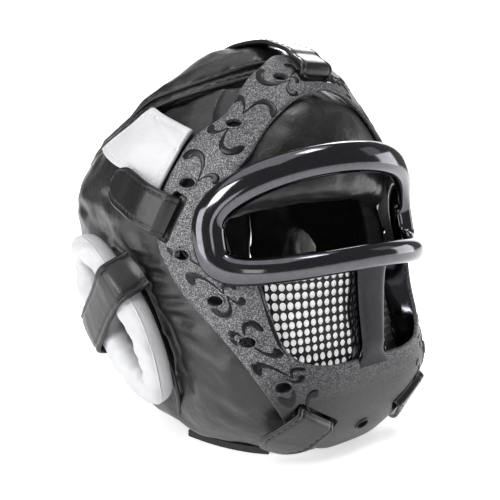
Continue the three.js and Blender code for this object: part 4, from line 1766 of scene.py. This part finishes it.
@dataclass
class FaceMask:
    """The moulded mask: band, eye rim, centre bar, window flanges, scrolls, vents and slots."""

    wear: Wardrobe
    thickness: float = 3.0
    stations: int = 300
    rows: tuple[tuple[float, float, float, float], ...] = (
        (0, 226, 0, 206), (20, 225, 11, 203.5), (32, 218, 20, 199), (41, 210, 28, 192),
        (49, 193, 34.5, 183), (59, 181, 39, 171), (63.5, 168, 46, 157), (67, 155, 51, 147),
        (71, 136, 53, 133), (72, 120, 51, 118), (70.5, 109, 45, 111), (67, 95, 39, 102),
        (59, 79.5, 34, 80), (52.8, 68.7, 29, 69), (46.3, 56.4, 21, 63), (38.3, 41.3, 12, 60.5),
        (27, 17, 6, 60), (14, 6.5, 3, 60), (0, 5, 0, 60),
    )
    rim_height: float = 141.5
    rim_sag: float = 0.0056
    rim_half_angle: float = 53.2
    rim_half_height: float = 26.0
    rim_square: float = 3.1
    rim_tall: float = 7.8
    rim_uneven: float = 0.12
    rim_deep: float = 6.2
    rim_stand: float = 3.4
    bar_top: float = 114.0
    bar_bottom: float = 55.0
    bar_top_half: float = 11.5
    bar_bottom_half: float = 8.5
    bar_front: float = 3.2
    bar_depth: float = 7.8
    flange_wall: float = 3.0
    flange_depth: float = 8.2
    flange_sink: float = 0.1
    bar_flare: float = 5.0
    bar_top_flare: float = 5.0
    bar_bottom_flare: float = 8.0
    window: Pairs = (
        (1.5, 60.4), (12, 60.4), (21, 63), (29, 69), (34, 80),
        (39, 102), (38, 108), (22, 110), (5.4, 111), (3, 85),
    )
    vents: Pairs = (
        (23.8, 211.6), (46, 186.3), (59.5, 155.2), (63.7, 117.6), (55.6, 94.6), (46, 74.6), (32.5, 52.3),
    )
    chin_vent: tuple[float, float] = (0.0, 19.0)
    vent_long: float = 4.4
    vent_tall: float = 2.7
    vent_reach: float = 8.0
    bead_out: float = 0.5
    bead: float = 0.65
    lip: float = 0.2
    lip_place: float = 2.4
    lip_width: float = 1.5

    def loop(self) -> tuple[Array, Array]:
        """Both edges of the band, from the rows of one side and their mirror.

        Returns:
            Outer and inner rows of angle and height, once round.
        """
        half = np.asarray(self.rows, float)
        other = half[1:-1][::-1] * np.array([-1.0, 1.0, -1.0, 1.0])
        whole = np.concatenate([half, other])
        return whole[:, :2], whole[:, 2:]

    def band_place(self, t: Array, share: Array) -> tuple[Array, Array]:
        """Places on the band.

        Args:
            t: Places round the band, from 0 to 1.
            share: Shares across it, from its outer edge.

        Returns:
            Angle and height.
        """
        outer_rows, inner_rows = self.loop()
        outer, inner = closed_curve(outer_rows, t), closed_curve(inner_rows, t)
        spot = lerp(outer, inner, share[..., None])
        return spot[..., 0], spot[..., 1]

    def band(self) -> Form:
        """The band: a rounded strip carried round the face, with a raised lip along its outer edge.

        Returns:
            The closed form.
        """
        t = np.linspace(0.0, 1.0, self.stations, endpoint=False)[:, None]
        edge = self.thickness / 2.0
        ends = [MASK.point(*self.band_place(t, np.full_like(t, s))) for s in (0.0, 1.0)]
        width = np.linalg.norm(ends[1] - ends[0], axis=-1)
        bend = np.linspace(-np.pi / 2.0, np.pi / 2.0, 7)
        face = np.linspace(0.0, 1.0, 30)[1:-1]
        outer_d, outer_o = edge - edge * np.cos(bend), -edge + edge * np.sin(bend)
        ones = np.ones_like(width)
        across = np.concatenate([
            ones * outer_d, edge + (width - 2 * edge) * face, width - outer_d[::-1] * ones,
            edge + (width - 2 * edge) * face[::-1][::3],
        ], axis=1)
        lip = self.lip * bell(across - self.lip_place, self.lip_width)
        count = len(bend) + len(face)
        offset = np.concatenate([
            outer_o, np.zeros(len(face)), outer_o[::-1], np.full(len(face[::3]), -self.thickness),
        ])[None, :] * ones
        on_face = (np.arange(offset.shape[1])[None, :] < count) & (offset > -edge * 0.6)
        raised = offset + np.where(on_face, lip, 0.0)
        angle, height = self.band_place(t * np.ones_like(across), across / width)
        return Form.ring(MASK.at(angle, height, raised))

    def rim_place(self, t: Array) -> tuple[Array, Array]:
        """Places on the eye rim: a squared ellipse whose ends sag.

        Args:
            t: Places round the rim, from 0 to 1.

        Returns:
            Angle and height.
        """
        turn = t * 2.0 * np.pi
        angle = self.rim_half_angle * signed_power(np.cos(turn), 2.0 / self.rim_square)
        rise = self.rim_half_height * signed_power(np.sin(turn), 2.0 / self.rim_square)
        return angle, self.rim_height - self.rim_sag * angle**2 + rise

    def rim(self) -> Form:
        """The eye rim: a rounded section carried evenly round its loop, thicker at the brow.

        Returns:
            The closed form.
        """
        fine = np.linspace(0.0, 1.0, 4001)
        run = run_along(MASK.point(*self.rim_place(fine)))
        t = np.interp(np.linspace(0.0, run[-1], 260, endpoint=False), run, fine)[:, None]
        turn = circle(40)[None, :]
        origin, _, _, out = MASK.axes(*self.rim_place(t))
        path = unit(MASK.point(*self.rim_place(t + 0.003)) - MASK.point(*self.rim_place(t - 0.003)))
        sideways = unit(np.cross(path, out))
        corner = 1.0 + 0.10 * np.abs(np.cos(t * 2.0 * np.pi)) ** 3
        deep = self.rim_stand + self.rim_deep * corner * signed_power(np.sin(turn), 0.85)
        thick = corner * (1.0 + self.rim_uneven * np.sin(t * 2.0 * np.pi))
        tall = self.rim_tall * thick * signed_power(np.cos(turn), 0.85)
        return Form.ring(origin + out * deep[..., None] + sideways * tall[..., None])

    def centre_bar(self) -> Form:
        """The bar between the mouth windows: a rounded section that flares into the rim and the chin.

        Returns:
            The closed form.
        """
        v = np.linspace(0.0, 1.0, 60)[:, None]
        turn = circle(36)[None, :]
        height = lerp(self.bar_bottom, self.bar_top, v)
        flare = self.bar_top_flare * bell(height - self.bar_top, self.bar_flare)
        flare = flare + self.bar_bottom_flare * bell(height - self.bar_bottom, self.bar_flare)
        half = lerp(self.bar_bottom_half, self.bar_top_half, v) + flare
        front = self.bar_front * ease((height - self.bar_bottom) / 14.0) + 0.25
        depth = signed_power(np.sin(turn), 0.6)
        offset = front - self.bar_depth / 2.0 * (1.0 - depth)
        spine = MASK.at(np.zeros_like(offset), height * np.ones_like(offset), offset)
        spine[..., 0] = half * signed_power(np.cos(turn), 0.5)
        return Form.tube(spine)

    def flange(self, side: Side) -> Form:
        """The wall round a mouth window: a thin rounded section along its edge, running inwards.

        Args:
            side: The wearer's side.

        Returns:
            The closed form.
        """
        rows = np.asarray(self.window, float)
        t = np.linspace(0.0, 1.0, 200, endpoint=False)
        edge = closed_curve(rows, t)
        middle = rows.mean(axis=0)
        turn = circle(20)
        wall = self.flange_wall * (0.5 + 0.5 * signed_power(np.cos(turn), 0.4))
        depth = 0.5 * (self.flange_depth + folded_back(MASK.point(edge[:, :1], edge[:, 1:])[..., 0]))
        offset = depth * (signed_power(np.sin(turn), 0.4)[None, :] - 1.0) - self.flange_sink
        every = np.ones_like(offset)
        points = MASK.at(side.value * edge[:, :1] * every, edge[:, 1:] * every, offset)
        centre = MASK.at(side.value * middle[0] * every, middle[1] * every, offset)
        return Form.ring(points + unit(points - centre) * wall[None, :, None])

    def openings(self) -> list[tuple[float, float]]:
        """Places of all vents, on both sides and at the chin."""
        both = [(sign * angle, height) for sign in (1, -1) for angle, height in self.vents]
        return both + [self.chin_vent]

    def vent_cutters(self) -> Form:
        """Oval cutters square on the mask at every vent.

        Returns:
            The closed form.
        """
        turn = circle(28)[:, None]
        tools = []
        for angle, height in self.openings():
            origin, along, up, out = MASK.axes(angle, height)
            oval = along * (self.vent_long * np.cos(turn)) + up * (self.vent_tall * np.sin(turn))
            ends = [origin + oval + out * reach for reach in (-self.vent_reach, self.vent_reach)]
            tools.append(Form.tube(np.stack(ends)))
        return Form.joined(tools)

    def vent_rims(self) -> Form:
        """A small rounded bead round every vent.

        Returns:
            The closed form.
        """
        oval = circle(32)[:, None]
        turn = circle(8)[None, :]
        x = (self.vent_long + self.bead_out + self.bead * np.cos(turn)) * np.cos(oval)
        y = (self.vent_tall + self.bead_out + self.bead * np.cos(turn)) * np.sin(oval)
        z = self.bead * np.sin(turn) + 0.0 * oval + 0.05
        beads = []
        for angle, height in self.openings():
            origin, along, up, out = MASK.axes(angle, height)
            bead = origin + along * x[..., None] + up * y[..., None] + out * z[..., None]
            beads.append(Form.ring(bead))
        return Form.joined(beads)

    def build(self, slots: Form) -> None:
        """Builds and dresses the mask.

        Args:
            slots: Cutters for the strap slots.
        """
        band = self.band().object("mask_band", 35.0)
        cut_away(band, Form.joined([self.vent_cutters(), slots]), 35.0)
        register(band, self.wear.moulded, Slot.MASK, ("face_mask",))
        register(self.vent_rims().object("mask_vent_rims"), self.wear.moulded, Slot.MASK)
        register(self.rim().object("mask_eye_rim"), self.wear.gloss, Slot.MASK)
        register(self.centre_bar().object("mask_centre_bar"), self.wear.bar, Slot.MASK)
        for side in Side:
            flange = self.flange(side).object(f"mask_window_flange_{side.word}")
            register(flange, self.wear.gloss, Slot.MASK)
        scrolls = Scrollwork(self).form().object("mask_scrolls", 60.0)
        register(scrolls, self.wear.enamel, Slot.MASK)


@dataclass(frozen=True)
class Stroke:
    """One comma of a scroll: a thin tail that runs on and curls into a thick round head.

    Places and lengths are millimetres along and across the band, angles are degrees.
    """

    x: float
    y: float
    length: float
    heading: float
    bend: float
    curl: float
    width: float

    def line(self, t: Array) -> Array:
        """The middle line: its heading bends evenly, and curls ever faster near the head.

        Args:
            t: Places on the line, from 0 to 1.

        Returns:
            The points.
        """
        fine = np.linspace(0.0, 1.0, 241)
        heading = np.radians(self.heading + self.bend * fine + self.curl * fine**2.6)
        step = self.length / 240.0
        x = self.x + step * (np.cumsum(np.cos(heading)) - np.cos(heading))
        y = self.y + step * (np.cumsum(np.sin(heading)) - np.sin(heading))
        return np.stack([np.interp(t, fine, x), np.interp(t, fine, y)], axis=-1)

    def half_width(self, t: Array) -> Array:
        """Half the stroke's width, from a thin tail to a head that ends in a half round.

        Args:
            t: Places on the line, from 0 to 1.

        Returns:
            The half widths.
        """
        swell = 0.14 + 0.86 * ease(t * 1.05) ** 1.3
        head = np.sqrt(np.clip(1.0 - (np.clip(t - 0.93, 0.0, 0.07) / 0.07) ** 2, 0.01, 1.0))
        return 0.5 * self.width * swell * head


@dataclass
class Scrollwork:
    """Low scrolls on the band: sprigs of commas that meet at their tails, set between the vents."""

    mask: FaceMask
    relief: float = 0.3
    sprig: tuple[Stroke, ...] = (
        Stroke(-17.0, -3.0, 26.0, 18, -20, 230, 5.2),
        Stroke(17.0, 3.0, 26.0, 198, -20, 230, 5.2),
        Stroke(-17.0, -3.0, 13.0, -20, -10, -210, 4.4),
        Stroke(17.0, 3.0, 13.0, 160, -10, -210, 4.4),
    )
    setting: tuple[tuple[float, float, float, float], ...] = (
        (0.7, 0.5, 0.55, 1), (2.8, 0.5, 1.08, -1), (5.4, 0.46, 1.02, 1), (10.0, 0.47, 0.92, 1),
        (11.65, 0.5, 0.8, -1), (13.3, 0.5, 0.9, 1), (15.3, 0.42, 0.78, -1),
    )

    def form(self) -> Form:
        """Every sprig on both sides, as lens-shaped ribbons that lie on the band.

        Returns:
            The closed form.
        """
        t = np.linspace(0.0, 1.0, 2401)
        middle = MASK.point(*self.mask.band_place(t, np.full_like(t, 0.5)))
        run = run_along(middle)
        ends = [MASK.point(*self.mask.band_place(t, np.full_like(t, s))) for s in (0.0, 1.0)]
        width = np.linalg.norm(ends[1] - ends[0], axis=-1)
        count = 2.0 * (len(self.mask.rows) - 1)
        ribbons = []
        for side in Side:
            for row, share, scale, flip in self.setting:
                place = row / count if side is Side.RIGHT else 1.0 - row / count
                start = np.interp(place, t, run)
                for stroke in self.sprig:
                    flips = (flip * side.value, side.value)
                    ribbons.append(self.ribbon(stroke, start, share, scale, flips, t, run, width))
        return Form.joined(ribbons)

    def ribbon(
        self, stroke: Stroke, start: float, share: float, scale: float, flips: tuple[float, float],
        t: Array, run: Array, width: Array,
    ) -> Form:
        """One stroke as a ribbon: a lens across its line, tapering to both ends.

        Args:
            stroke: The stroke.
            start: Run along the band at the sprig's middle.
            share: Share across the band at the sprig's middle.
            scale: Size of the sprig.
            flips: Signs of its across direction and its along direction.
            t: Places round the band.
            run: Run along the band at those places.
            width: Width of the band at those places.

        Returns:
            The ribbon.
        """
        flip, turn = flips
        s = crowd(np.linspace(0.0, 1.0, 48))
        line = stroke.line(s) * scale
        ahead = unit(np.gradient(line, axis=0))
        side = np.stack([-ahead[:, 1], ahead[:, 0]], axis=-1)
        half = stroke.half_width(s) * scale**0.35
        lens = np.linspace(-1.0, 1.0, 7)
        flat = line[:, None, :] + side[:, None, :] * (half[:, None] * lens)[..., None]
        length = start + turn * flat[..., 0]
        place = np.interp(np.mod(length, run[-1]), run, t)
        across = share + flip * turn * flat[..., 1] / np.interp(place, t, width)
        angle, height = self.mask.band_place(place, np.clip(across, 0.04, 0.96))
        dome = np.sqrt(np.clip(1.0 - lens**4, 0.0, 1.0))[None, :]
        outer = MASK.at(angle, height, self.relief * dome * np.minimum(half[:, None] / 0.4, 1.0) + 0.08)
        inner = MASK.at(angle, height, np.full_like(angle, -0.4))
        return Form.slab(outer, inner)


# Mouth screen


@dataclass
class MouthScreen:
    """The pierced sheet behind the mouth windows, and the white sheet behind it, which glows as painted
    light.
    """

    wear: Wardrobe
    bottom: float = 57.0
    offset: float = -7.8
    thickness: float = 1.2
    pitch: float = 4.6
    hole: float = 3.75
    hole_sides: int = 16
    columns: int = 29
    rows: int = 12
    backing_offset: float = -9.1
    backing_thickness: float = 0.9
    backing_half: float = 60.0
    backing_top: float = 110.0

    def lie(self, x: Array, z: Array, offset: Array) -> Array:
        """Points of the sheet from their place across and up: the mask's surface, set inwards.

        Each half is folded back from the middle, so its outer end lies deeper.

        Args:
            x: Across, from the middle.
            z: Millimetres above the floor.
            offset: Off the mask's surface.

        Returns:
            The points.
        """
        square = MASK.read(Column.FRONT_SQUARE, z)
        share = np.clip(np.abs(x) / MASK.read(Column.HALF, z), 0.0, 1.0) ** (square / 2.0)
        angle = -np.sign(x) * np.degrees(np.arcsin(share))
        return MASK.at(angle, z, offset - folded_back(x))

    def pierced(self) -> Form:
        """A sheet of square cells with a round hole in each: rings between a square and a circle.

        Returns:
            The open sheet, which gets its thickness later.
        """
        x0 = (np.arange(self.columns) - (self.columns - 1) / 2.0) * self.pitch
        z0 = self.bottom + (np.arange(self.rows) + 0.5) * self.pitch
        cx, cz = (grid.reshape(-1, 1, 1) for grid in np.meshgrid(x0, z0, indexing="ij"))
        turn = circle(self.hole_sides)[None, None, :]
        square = 0.5 * self.pitch / np.maximum(np.abs(np.cos(turn)), np.abs(np.sin(turn)))
        rim = np.full_like(square, self.hole / 2.0)
        radius = np.concatenate([square, rim], axis=1)
        x, z = cx + radius * np.cos(turn), cz + radius * np.sin(turn)
        points = self.lie(x, z, np.full_like(x, self.offset)).reshape(-1, 3)
        ring = Form.quads(2, self.hole_sides, False, True)
        faces = (ring[None] + 2 * self.hole_sides * np.arange(len(cx))[:, None, None]).reshape(-1, 4)
        keep, first = np.unique(np.round(points, 3), axis=0, return_inverse=True)
        return Form(keep, first.reshape(-1)[faces].tolist())

    def backing(self) -> Form:
        """A plain thin sheet behind the pierced one. Its material glows faintly: painted light.

        Returns:
            The closed form.
        """
        x, z = np.meshgrid(
            np.linspace(-self.backing_half, self.backing_half, 60),
            np.linspace(self.bottom + 1.0, self.backing_top, 30),
            indexing="ij",
        )
        outer = self.lie(x, z, np.full_like(x, self.backing_offset))
        inner = self.lie(x, z, np.full_like(x, self.backing_offset - self.backing_thickness))
        return Form.slab(outer, inner)

    def build(self) -> None:
        """Builds and dresses both sheets."""
        screen = self.pierced().object("mouth_screen_sheet")
        wall = screen.modifiers.new("Wall", "SOLIDIFY")
        wall.thickness = self.thickness * MILLIMETRE
        wall.offset = 0.0
        bake_modifiers(screen)
        smooth(screen.data, 35.0)
        register(screen, self.wear.screen, Slot.SCREEN, ("mouth_screen",))
        backing = self.backing().object("screen_backing_sheet")
        register(backing, self.wear.backing, Slot.BACKING, ("screen_backing",))


# Straps


@dataclass(frozen=True)
class StrapRun:
    """A side strap from its slot to its round end.

    Its underside rises from tuck, in the slot, to over. Where land is past leave, it then settles
    to landed between those two angles.
    """

    lies: SectionStack
    angle: float
    height: float
    end_angle: float
    end_height: float
    width: float
    tuck: float
    over: float
    landed: float
    leave: float = 0.0
    land: float = 0.0


@dataclass
class Straps:
    """Top, temple and chin straps with their stitches, and the slots that they come out of."""

    wear: Wardrobe
    thickness: float = 2.6
    top_width: float = 25.0
    slot_extra: float = 4.0
    slot_opening: float = 10.0
    slot_ahead: float = 2.5
    slot_reach: float = 11.0
    rise_rate: float = 9.0
    top_slot: tuple[float, float] = (0.0, 215.5)
    over_tab: Pairs = ((215.5, -6.0), (216.5, 1.5), (222.5, 0.9), (226.3, 0.9))
    over_crown: Pairs = (
        (-33.0, 230.4), (-24.0, 232.8), (-9.0, 233.2), (7.0, 231.4), (24.0, 225.4),
    )
    temple: StrapRun = StrapRun(GUARD, 64.5, 136, 90.5, 155, 24, 0.8, 5.7, 3.0, 73.0, 82.0)
    chin: StrapRun = StrapRun(MASK, 16.5, 33.2, 41.5, 11.5, 29, -3.4, 0.1, 0.1)

    def top_line(self) -> tuple[Array, Array]:
        """Middle line of the top strap: out of its slot, over the tab of the mask, onto the crown.

        Returns:
            Points of the line and their outward axes.
        """
        tab = [MASK.at(0.0, height, offset) for height, offset in self.over_tab]
        crown = [np.array([0.0, y, z]) for y, z in self.over_crown]
        line = open_curve(np.array(tab + crown), np.linspace(0.0, 1.0, 110))
        ahead = unit(np.gradient(line, axis=0))
        return line, np.stack([np.zeros(len(line)), -ahead[:, 2], ahead[:, 1]], axis=-1)

    def top_strap(self) -> Form:
        """The top strap: the strap section carried along its line.

        Returns:
            The closed form.
        """
        line, out = self.top_line()
        section = strap_section(self.top_width, self.thickness)
        across = section[None, :, :1] * np.array([1.0, 0.0, 0.0])
        return Form.tube(line[:, None, :] + across + section[None, :, 1:] * out[:, None, :])

    def top_stitches(self) -> Form:
        """Two rows of stitches along the top strap, and two short rows across its sewn end.

        Returns:
            All the stitches.
        """
        line, out = self.top_line()
        on_top = line + out * (self.thickness - 0.1)
        shift = np.array([self.top_width / 2.0 - STITCH_INSET, 0.0, 0.0])
        rows = [stitch_row(on_top[6:] + sign * shift, out[6:]) for sign in (1.0, -1.0)]
        for place in (-4, -10):
            spot, normal = on_top[place] + out[place] * 0.35, out[place]
            ends = np.linspace(-1.0, 1.0, 20)[:, None] * shift + spot
            rows.append(stitch_row(ends, np.repeat(normal[None], 20, axis=0)))
        return Form.joined(rows)

    def turn(self, run: StrapRun, side: Side) -> float:
        """The strap's direction in its surface at the slot.

        Args:
            run: The strap.
            side: The wearer's side.

        Returns:
            Radians from along to up.
        """
        origin, along, up, _ = run.lies.axes(side.value * run.angle, run.height)
        way = run.lies.point(side.value * run.end_angle, run.end_height) - origin
        return math.atan2(float(way @ up), float(way @ along))

    def lay(self, run: StrapRun, side: Side, u: Array, across: Array, lift: Array) -> tuple[Array, Array]:
        """Points on a side strap.

        Args:
            run: The strap.
            side: Which side.
            u: Shares of its length.
            across: Across it, from its middle.
            lift: Above its underside.

        Returns:
            The points and the outward axes under them.
        """
        turn = self.turn(run, side)
        angle = lerp(run.angle, run.end_angle, u)
        height = lerp(run.height, run.end_height, u)
        origin, along, up, out = run.lies.axes(side.value * angle, height)
        sideways = -math.sin(turn) * along + math.cos(turn) * up
        rise = lerp(run.tuck, run.over, ease(u * self.rise_rate))
        settle = np.zeros_like(u)
        if run.land > run.leave:
            settle = ease((angle - run.leave) / (run.land - run.leave))
        offset = lerp(rise, run.landed, settle) + lift
        return origin + sideways * across[..., None] + out * offset[..., None], out

    def length(self, run: StrapRun, side: Side) -> float:
        """Straight length from the slot to the end."""
        first = run.lies.point(side.value * run.angle, run.height)
        return float(np.linalg.norm(run.lies.point(side.value * run.end_angle, run.end_height) - first))

    def side_strap(self, run: StrapRun, side: Side) -> Form:
        """A side strap: the strap section along its run, drawn in to a round end.

        Args:
            run: The strap.
            side: The wearer's side.

        Returns:
            The closed form.
        """
        u = np.linspace(0.0, 1.0, 90) ** 0.8
        u = np.concatenate([u[:-1], 1.0 - (1.0 - u[-2]) * np.linspace(1.0, 0.02, 6)[1:]])[:, None]
        section = strap_section(run.width, self.thickness)[None]
        from_end = (1.0 - u) * self.length(run, side)
        radius = run.width / 2.0
        squeeze = quarter_round(from_end / radius, 0.002)
        across = section[..., 0] * squeeze
        lift = section[..., 1] * np.minimum(1.0, 0.6 + from_end / 4.0)
        points, _ = self.lay(run, side, u * np.ones_like(across), across, lift)
        return Form.tube(points)

    def side_stitches(self, run: StrapRun, side: Side) -> Form:
        """Stitches inside the edge of a side strap and round its end.

        Args:
            run: The strap.
            side: The wearer's side.

        Returns:
            All the stitches.
        """
        t = np.linspace(0.0, 1.0, 200)
        radius = run.width / 2.0
        inside = radius - STITCH_INSET
        straight = 1.0 - radius / self.length(run, side)
        bend = inside / self.length(run, side)
        first = np.stack([lerp(0.16, straight, t), np.full_like(t, inside)], axis=-1)
        arc = np.pi * (0.5 - t)
        cap = np.stack([straight + bend * np.cos(arc), inside * np.sin(arc)], axis=-1)
        last = first[::-1] * np.array([1.0, -1.0])
        way = np.concatenate([first, cap[1:-1], last])
        points, out = self.lay(run, side, way[:, 0], way[:, 1], np.full(len(way), self.thickness - 0.05))
        return stitch_row(points, out, 2.8, 1.3, 0.38)

    def slot_cutter(self, angle: float, height: float, length: float, turn: float) -> Form:
        """A round-ended slot square on the mask, set back from where its strap starts.

        Args:
            angle: Degrees from the front.
            height: Millimetres above the floor.
            length: Width of the strap.
            turn: Direction of the slot, in radians from along to up.

        Returns:
            The cutter.
        """
        origin, along, up, out = MASK.axes(angle, height)
        long_axis = math.cos(turn) * along + math.sin(turn) * up
        short_axis = -math.sin(turn) * along + math.cos(turn) * up
        bend = circle(32)
        x = (length + self.slot_extra) / 2.0 * signed_power(np.cos(bend), 0.3)
        half = self.slot_opening / 2.0
        y = half * signed_power(np.sin(bend), 0.3) + self.slot_ahead - half
        oval = long_axis * x[:, None] + short_axis * y[:, None]
        ends = [origin + oval + out * reach for reach in (-self.slot_reach, self.slot_reach)]
        return Form.tube(np.stack(ends))

    def slots(self) -> Form:
        """All five slot cutters.

        Returns:
            The cutters as one form.
        """
        tools = [self.slot_cutter(*self.top_slot, self.top_width, 0.0)]
        for side in Side:
            for run in (self.temple, self.chin):
                turn = self.turn(run, side) + math.pi / 2.0
                tools.append(self.slot_cutter(side.value * run.angle, run.height, run.width, turn))
        return Form.joined(tools)

    def build(self) -> None:
        """Builds and dresses all straps."""
        top = self.top_strap().object("top_strap_leather")
        register(top, self.wear.strap, Slot.STRAP, ("top_strap",))
        rows = [self.top_stitches()]
        for side in Side:
            for word, run in (("temple", self.temple), ("chin", self.chin)):
                strap = self.side_strap(run, side).object(f"{word}_strap_{side.word}_leather")
                register(strap, self.wear.strap, Slot.STRAP, (f"{word}_strap_{side.word}",))
                rows.append(self.side_stitches(run, side))
        register(Form.joined(rows).object("strap_stitches"), self.wear.thread, Slot.STRAP)


# Neck binding


@dataclass
class NeckBinding:
    """Ribbed tape under the lower edge of each side pad."""

    wear: Wardrobe
    tall: float = 4.0
    outer: float = -5.0
    inner: float = -13.0
    front: float = 39.5
    rear: float = 83.0
    level: float = 4.3
    long: float = 60.0
    rib: float = 2.2
    rib_deep: float = 0.45

    def tape(self, side: Side) -> Form:
        """A flat-bottomed strip whose outer face waves in upright ribs.

        Args:
            side: The wearer's side.

        Returns:
            The closed form.
        """
        u = np.linspace(0.0, 1.0, 300)[:, None]
        section = np.array([(0, 0), (0.5, 0), (1, 0), (1, 0.5), (1, 1), (0.5, 1), (0, 1)])
        angle = side.value * lerp(self.front, self.rear, u) * np.ones((1, len(section)))
        on_face = section[None, :, 0] > 0.9
        ribs = self.rib_deep * np.abs(np.sin(np.pi * u * self.long / self.rib)) * on_face
        depth = lerp(self.inner, self.outer, section[None, :, 0]) + ribs - self.rib_deep
        points = GUARD.at(angle, np.full_like(angle, self.level), depth)
        points[..., 2] = section[None, :, 1] * self.tall
        return Form.tube(points)

    def build(self) -> None:
        """Builds and dresses both strips."""
        for side in Side:
            tape = self.tape(side).object(f"neck_binding_{side.word}_tape", 60.0)
            register(tape, self.wear.binding, Slot.BINDING, (f"neck_binding_{side.word}",))


# Studio


@dataclass
class Studio:
    """Pale floor, soft lights and the camera."""

    target: tuple[float, float, float] = (0.0, 0.0, 108.0)
    azimuth: float = -42.0
    elevation: float = 8.0
    distance: float = 500.0
    view: float = 35.33
    sensor: float = 36.0
    surround: float = 0.18
    floor: float = 0.60
    backdrop: float = 1.25
    backdrop_half: float = 1.6
    reach: float = 2.6
    aim: tuple[float, float, float] = (0.0, 0.0, 0.1)
    lights: tuple[tuple[str, tuple[float, float, float], float, float], ...] = (
        ("key", (-1.25, -0.45, 0.95), 0.5, 9.5),
        ("left", (-1.38, 0.16, 0.36), 0.8, 8.5),
        ("card", (-1.1, -1.1, 0.30), 0.35, 0.9),
        ("side", (1.4, -0.8, 0.9), 0.5, 0.4),
        ("top", (-0.25, -0.15, 1.45), 1.5, 8.0),
        ("back", (0.85, 0.55, 1.10), 0.6, 9.0),
        ("far", (1.40, -0.50, 0.30), 0.6, 3.5),
        ("strip", (0.22, -0.56, 1.45), 0.35, 3.6),
    )

    def camera(self) -> None:
        """The camera at the photograph's viewing angle."""
        azimuth, elevation = math.radians(self.azimuth), math.radians(self.elevation)
        level = math.cos(elevation)
        back = np.array([math.sin(azimuth) * level, -math.cos(azimuth) * level, math.sin(elevation)])
        target = (np.asarray(self.target) - ORIGIN) * MILLIMETRE
        data = bpy.data.cameras.new("camera")
        data.sensor_fit = "HORIZONTAL"
        data.sensor_width = self.sensor
        data.lens = self.sensor / 2.0 / math.tan(math.radians(self.view) / 2.0)
        data.clip_start = 0.01
        camera = bpy.data.objects.new("camera", data)
        camera.location = Vector(target + back * self.distance * MILLIMETRE)
        camera.rotation_euler = Vector(back).to_track_quat("Z", "Y").to_euler()
        bpy.context.scene.collection.objects.link(camera)
        bpy.context.scene.camera = camera

    def stage(self) -> None:
        """A wide pale floor, and a bright backdrop behind the object."""
        corners = np.array([(-1.0, -1.0), (1.0, -1.0), (1.0, 1.0), (-1.0, 1.0)])
        azimuth = math.radians(self.azimuth)
        ahead = np.array([-math.sin(azimuth), math.cos(azimuth), 0.0])
        across = np.array([math.cos(azimuth), math.sin(azimuth), 0.0])
        rise = np.array([0.0, 0.0, 1.0])
        ground = (corners[:, :1] * across + corners[:, 1:] * ahead) * self.reach
        screen = (corners[:, :1] * across + corners[:, 1:] * rise) * self.backdrop_half + ahead * self.reach
        for name, points, glow in (("floor", ground, self.floor), ("backdrop", screen, self.backdrop)):
            mesh = bpy.data.meshes.new(name)
            mesh.from_pydata(points.tolist(), [], [[0, 1, 2, 3]])
            mesh.materials.append(PlainFinish(f"{name}_paper", 0.95, 0.8, glow=glow).material())
            sheet = bpy.data.objects.new(name, mesh)
            bpy.context.scene.collection.objects.link(sheet)
            sheet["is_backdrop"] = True

    def light(self) -> None:
        """Soft square lights aimed at the object, in a dim plain surrounding."""
        for name, place, size, power in self.lights:
            data = bpy.data.lights.new(name, "AREA")
            data.size = size
            data.energy = power
            lamp = bpy.data.objects.new(name, data)
            lamp.location = place
            away = Vector(place) - Vector(self.aim)
            lamp.rotation_euler = away.to_track_quat("Z", "Y").to_euler()
            bpy.context.scene.collection.objects.link(lamp)
        world = bpy.data.worlds.new("surround")
        world.use_nodes = True
        background = world.node_tree.nodes["Background"]
        background.inputs["Color"].default_value = (1.0, 1.0, 1.0, 1.0)
        background.inputs["Strength"].default_value = self.surround
        bpy.context.scene.world = world
        bpy.context.scene.view_settings.view_transform = "Standard"

    def build(self) -> None:
        """Sets up the whole studio."""
        self.camera()
        self.stage()
        self.light()


def write_sizes(cad: tuple[Any, Any]) -> None:
    """Puts the CAD box and the dressed box into plain lists, which are not written anywhere.

    Args:
        cad: Corners of the CAD box.
    """
    boxes = {"cad": cad, "visual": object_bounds()}
    plain = {key: [[float(value) for value in corner] for corner in box] for key, box in boxes.items()}


def main() -> None:
    """Builds the headgear piece by piece on its frame."""
    logging.basicConfig(level=logging.INFO, format="%(name)s: %(message)s")
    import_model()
    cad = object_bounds()
    Studio().build()
    wear = Wardrobe.made()
    guard = PaddedGuard(wear)
    guard.build()
    SidePanels(wear, guard).build()
    EarGuards(wear).build()
    straps = Straps(wear)
    FaceMask(wear).build(straps.slots())
    MouthScreen(wear).build()
    straps.build()
    NeckBinding(wear).build()
    write_sizes(cad)


if __name__ == "__main__":
    main()
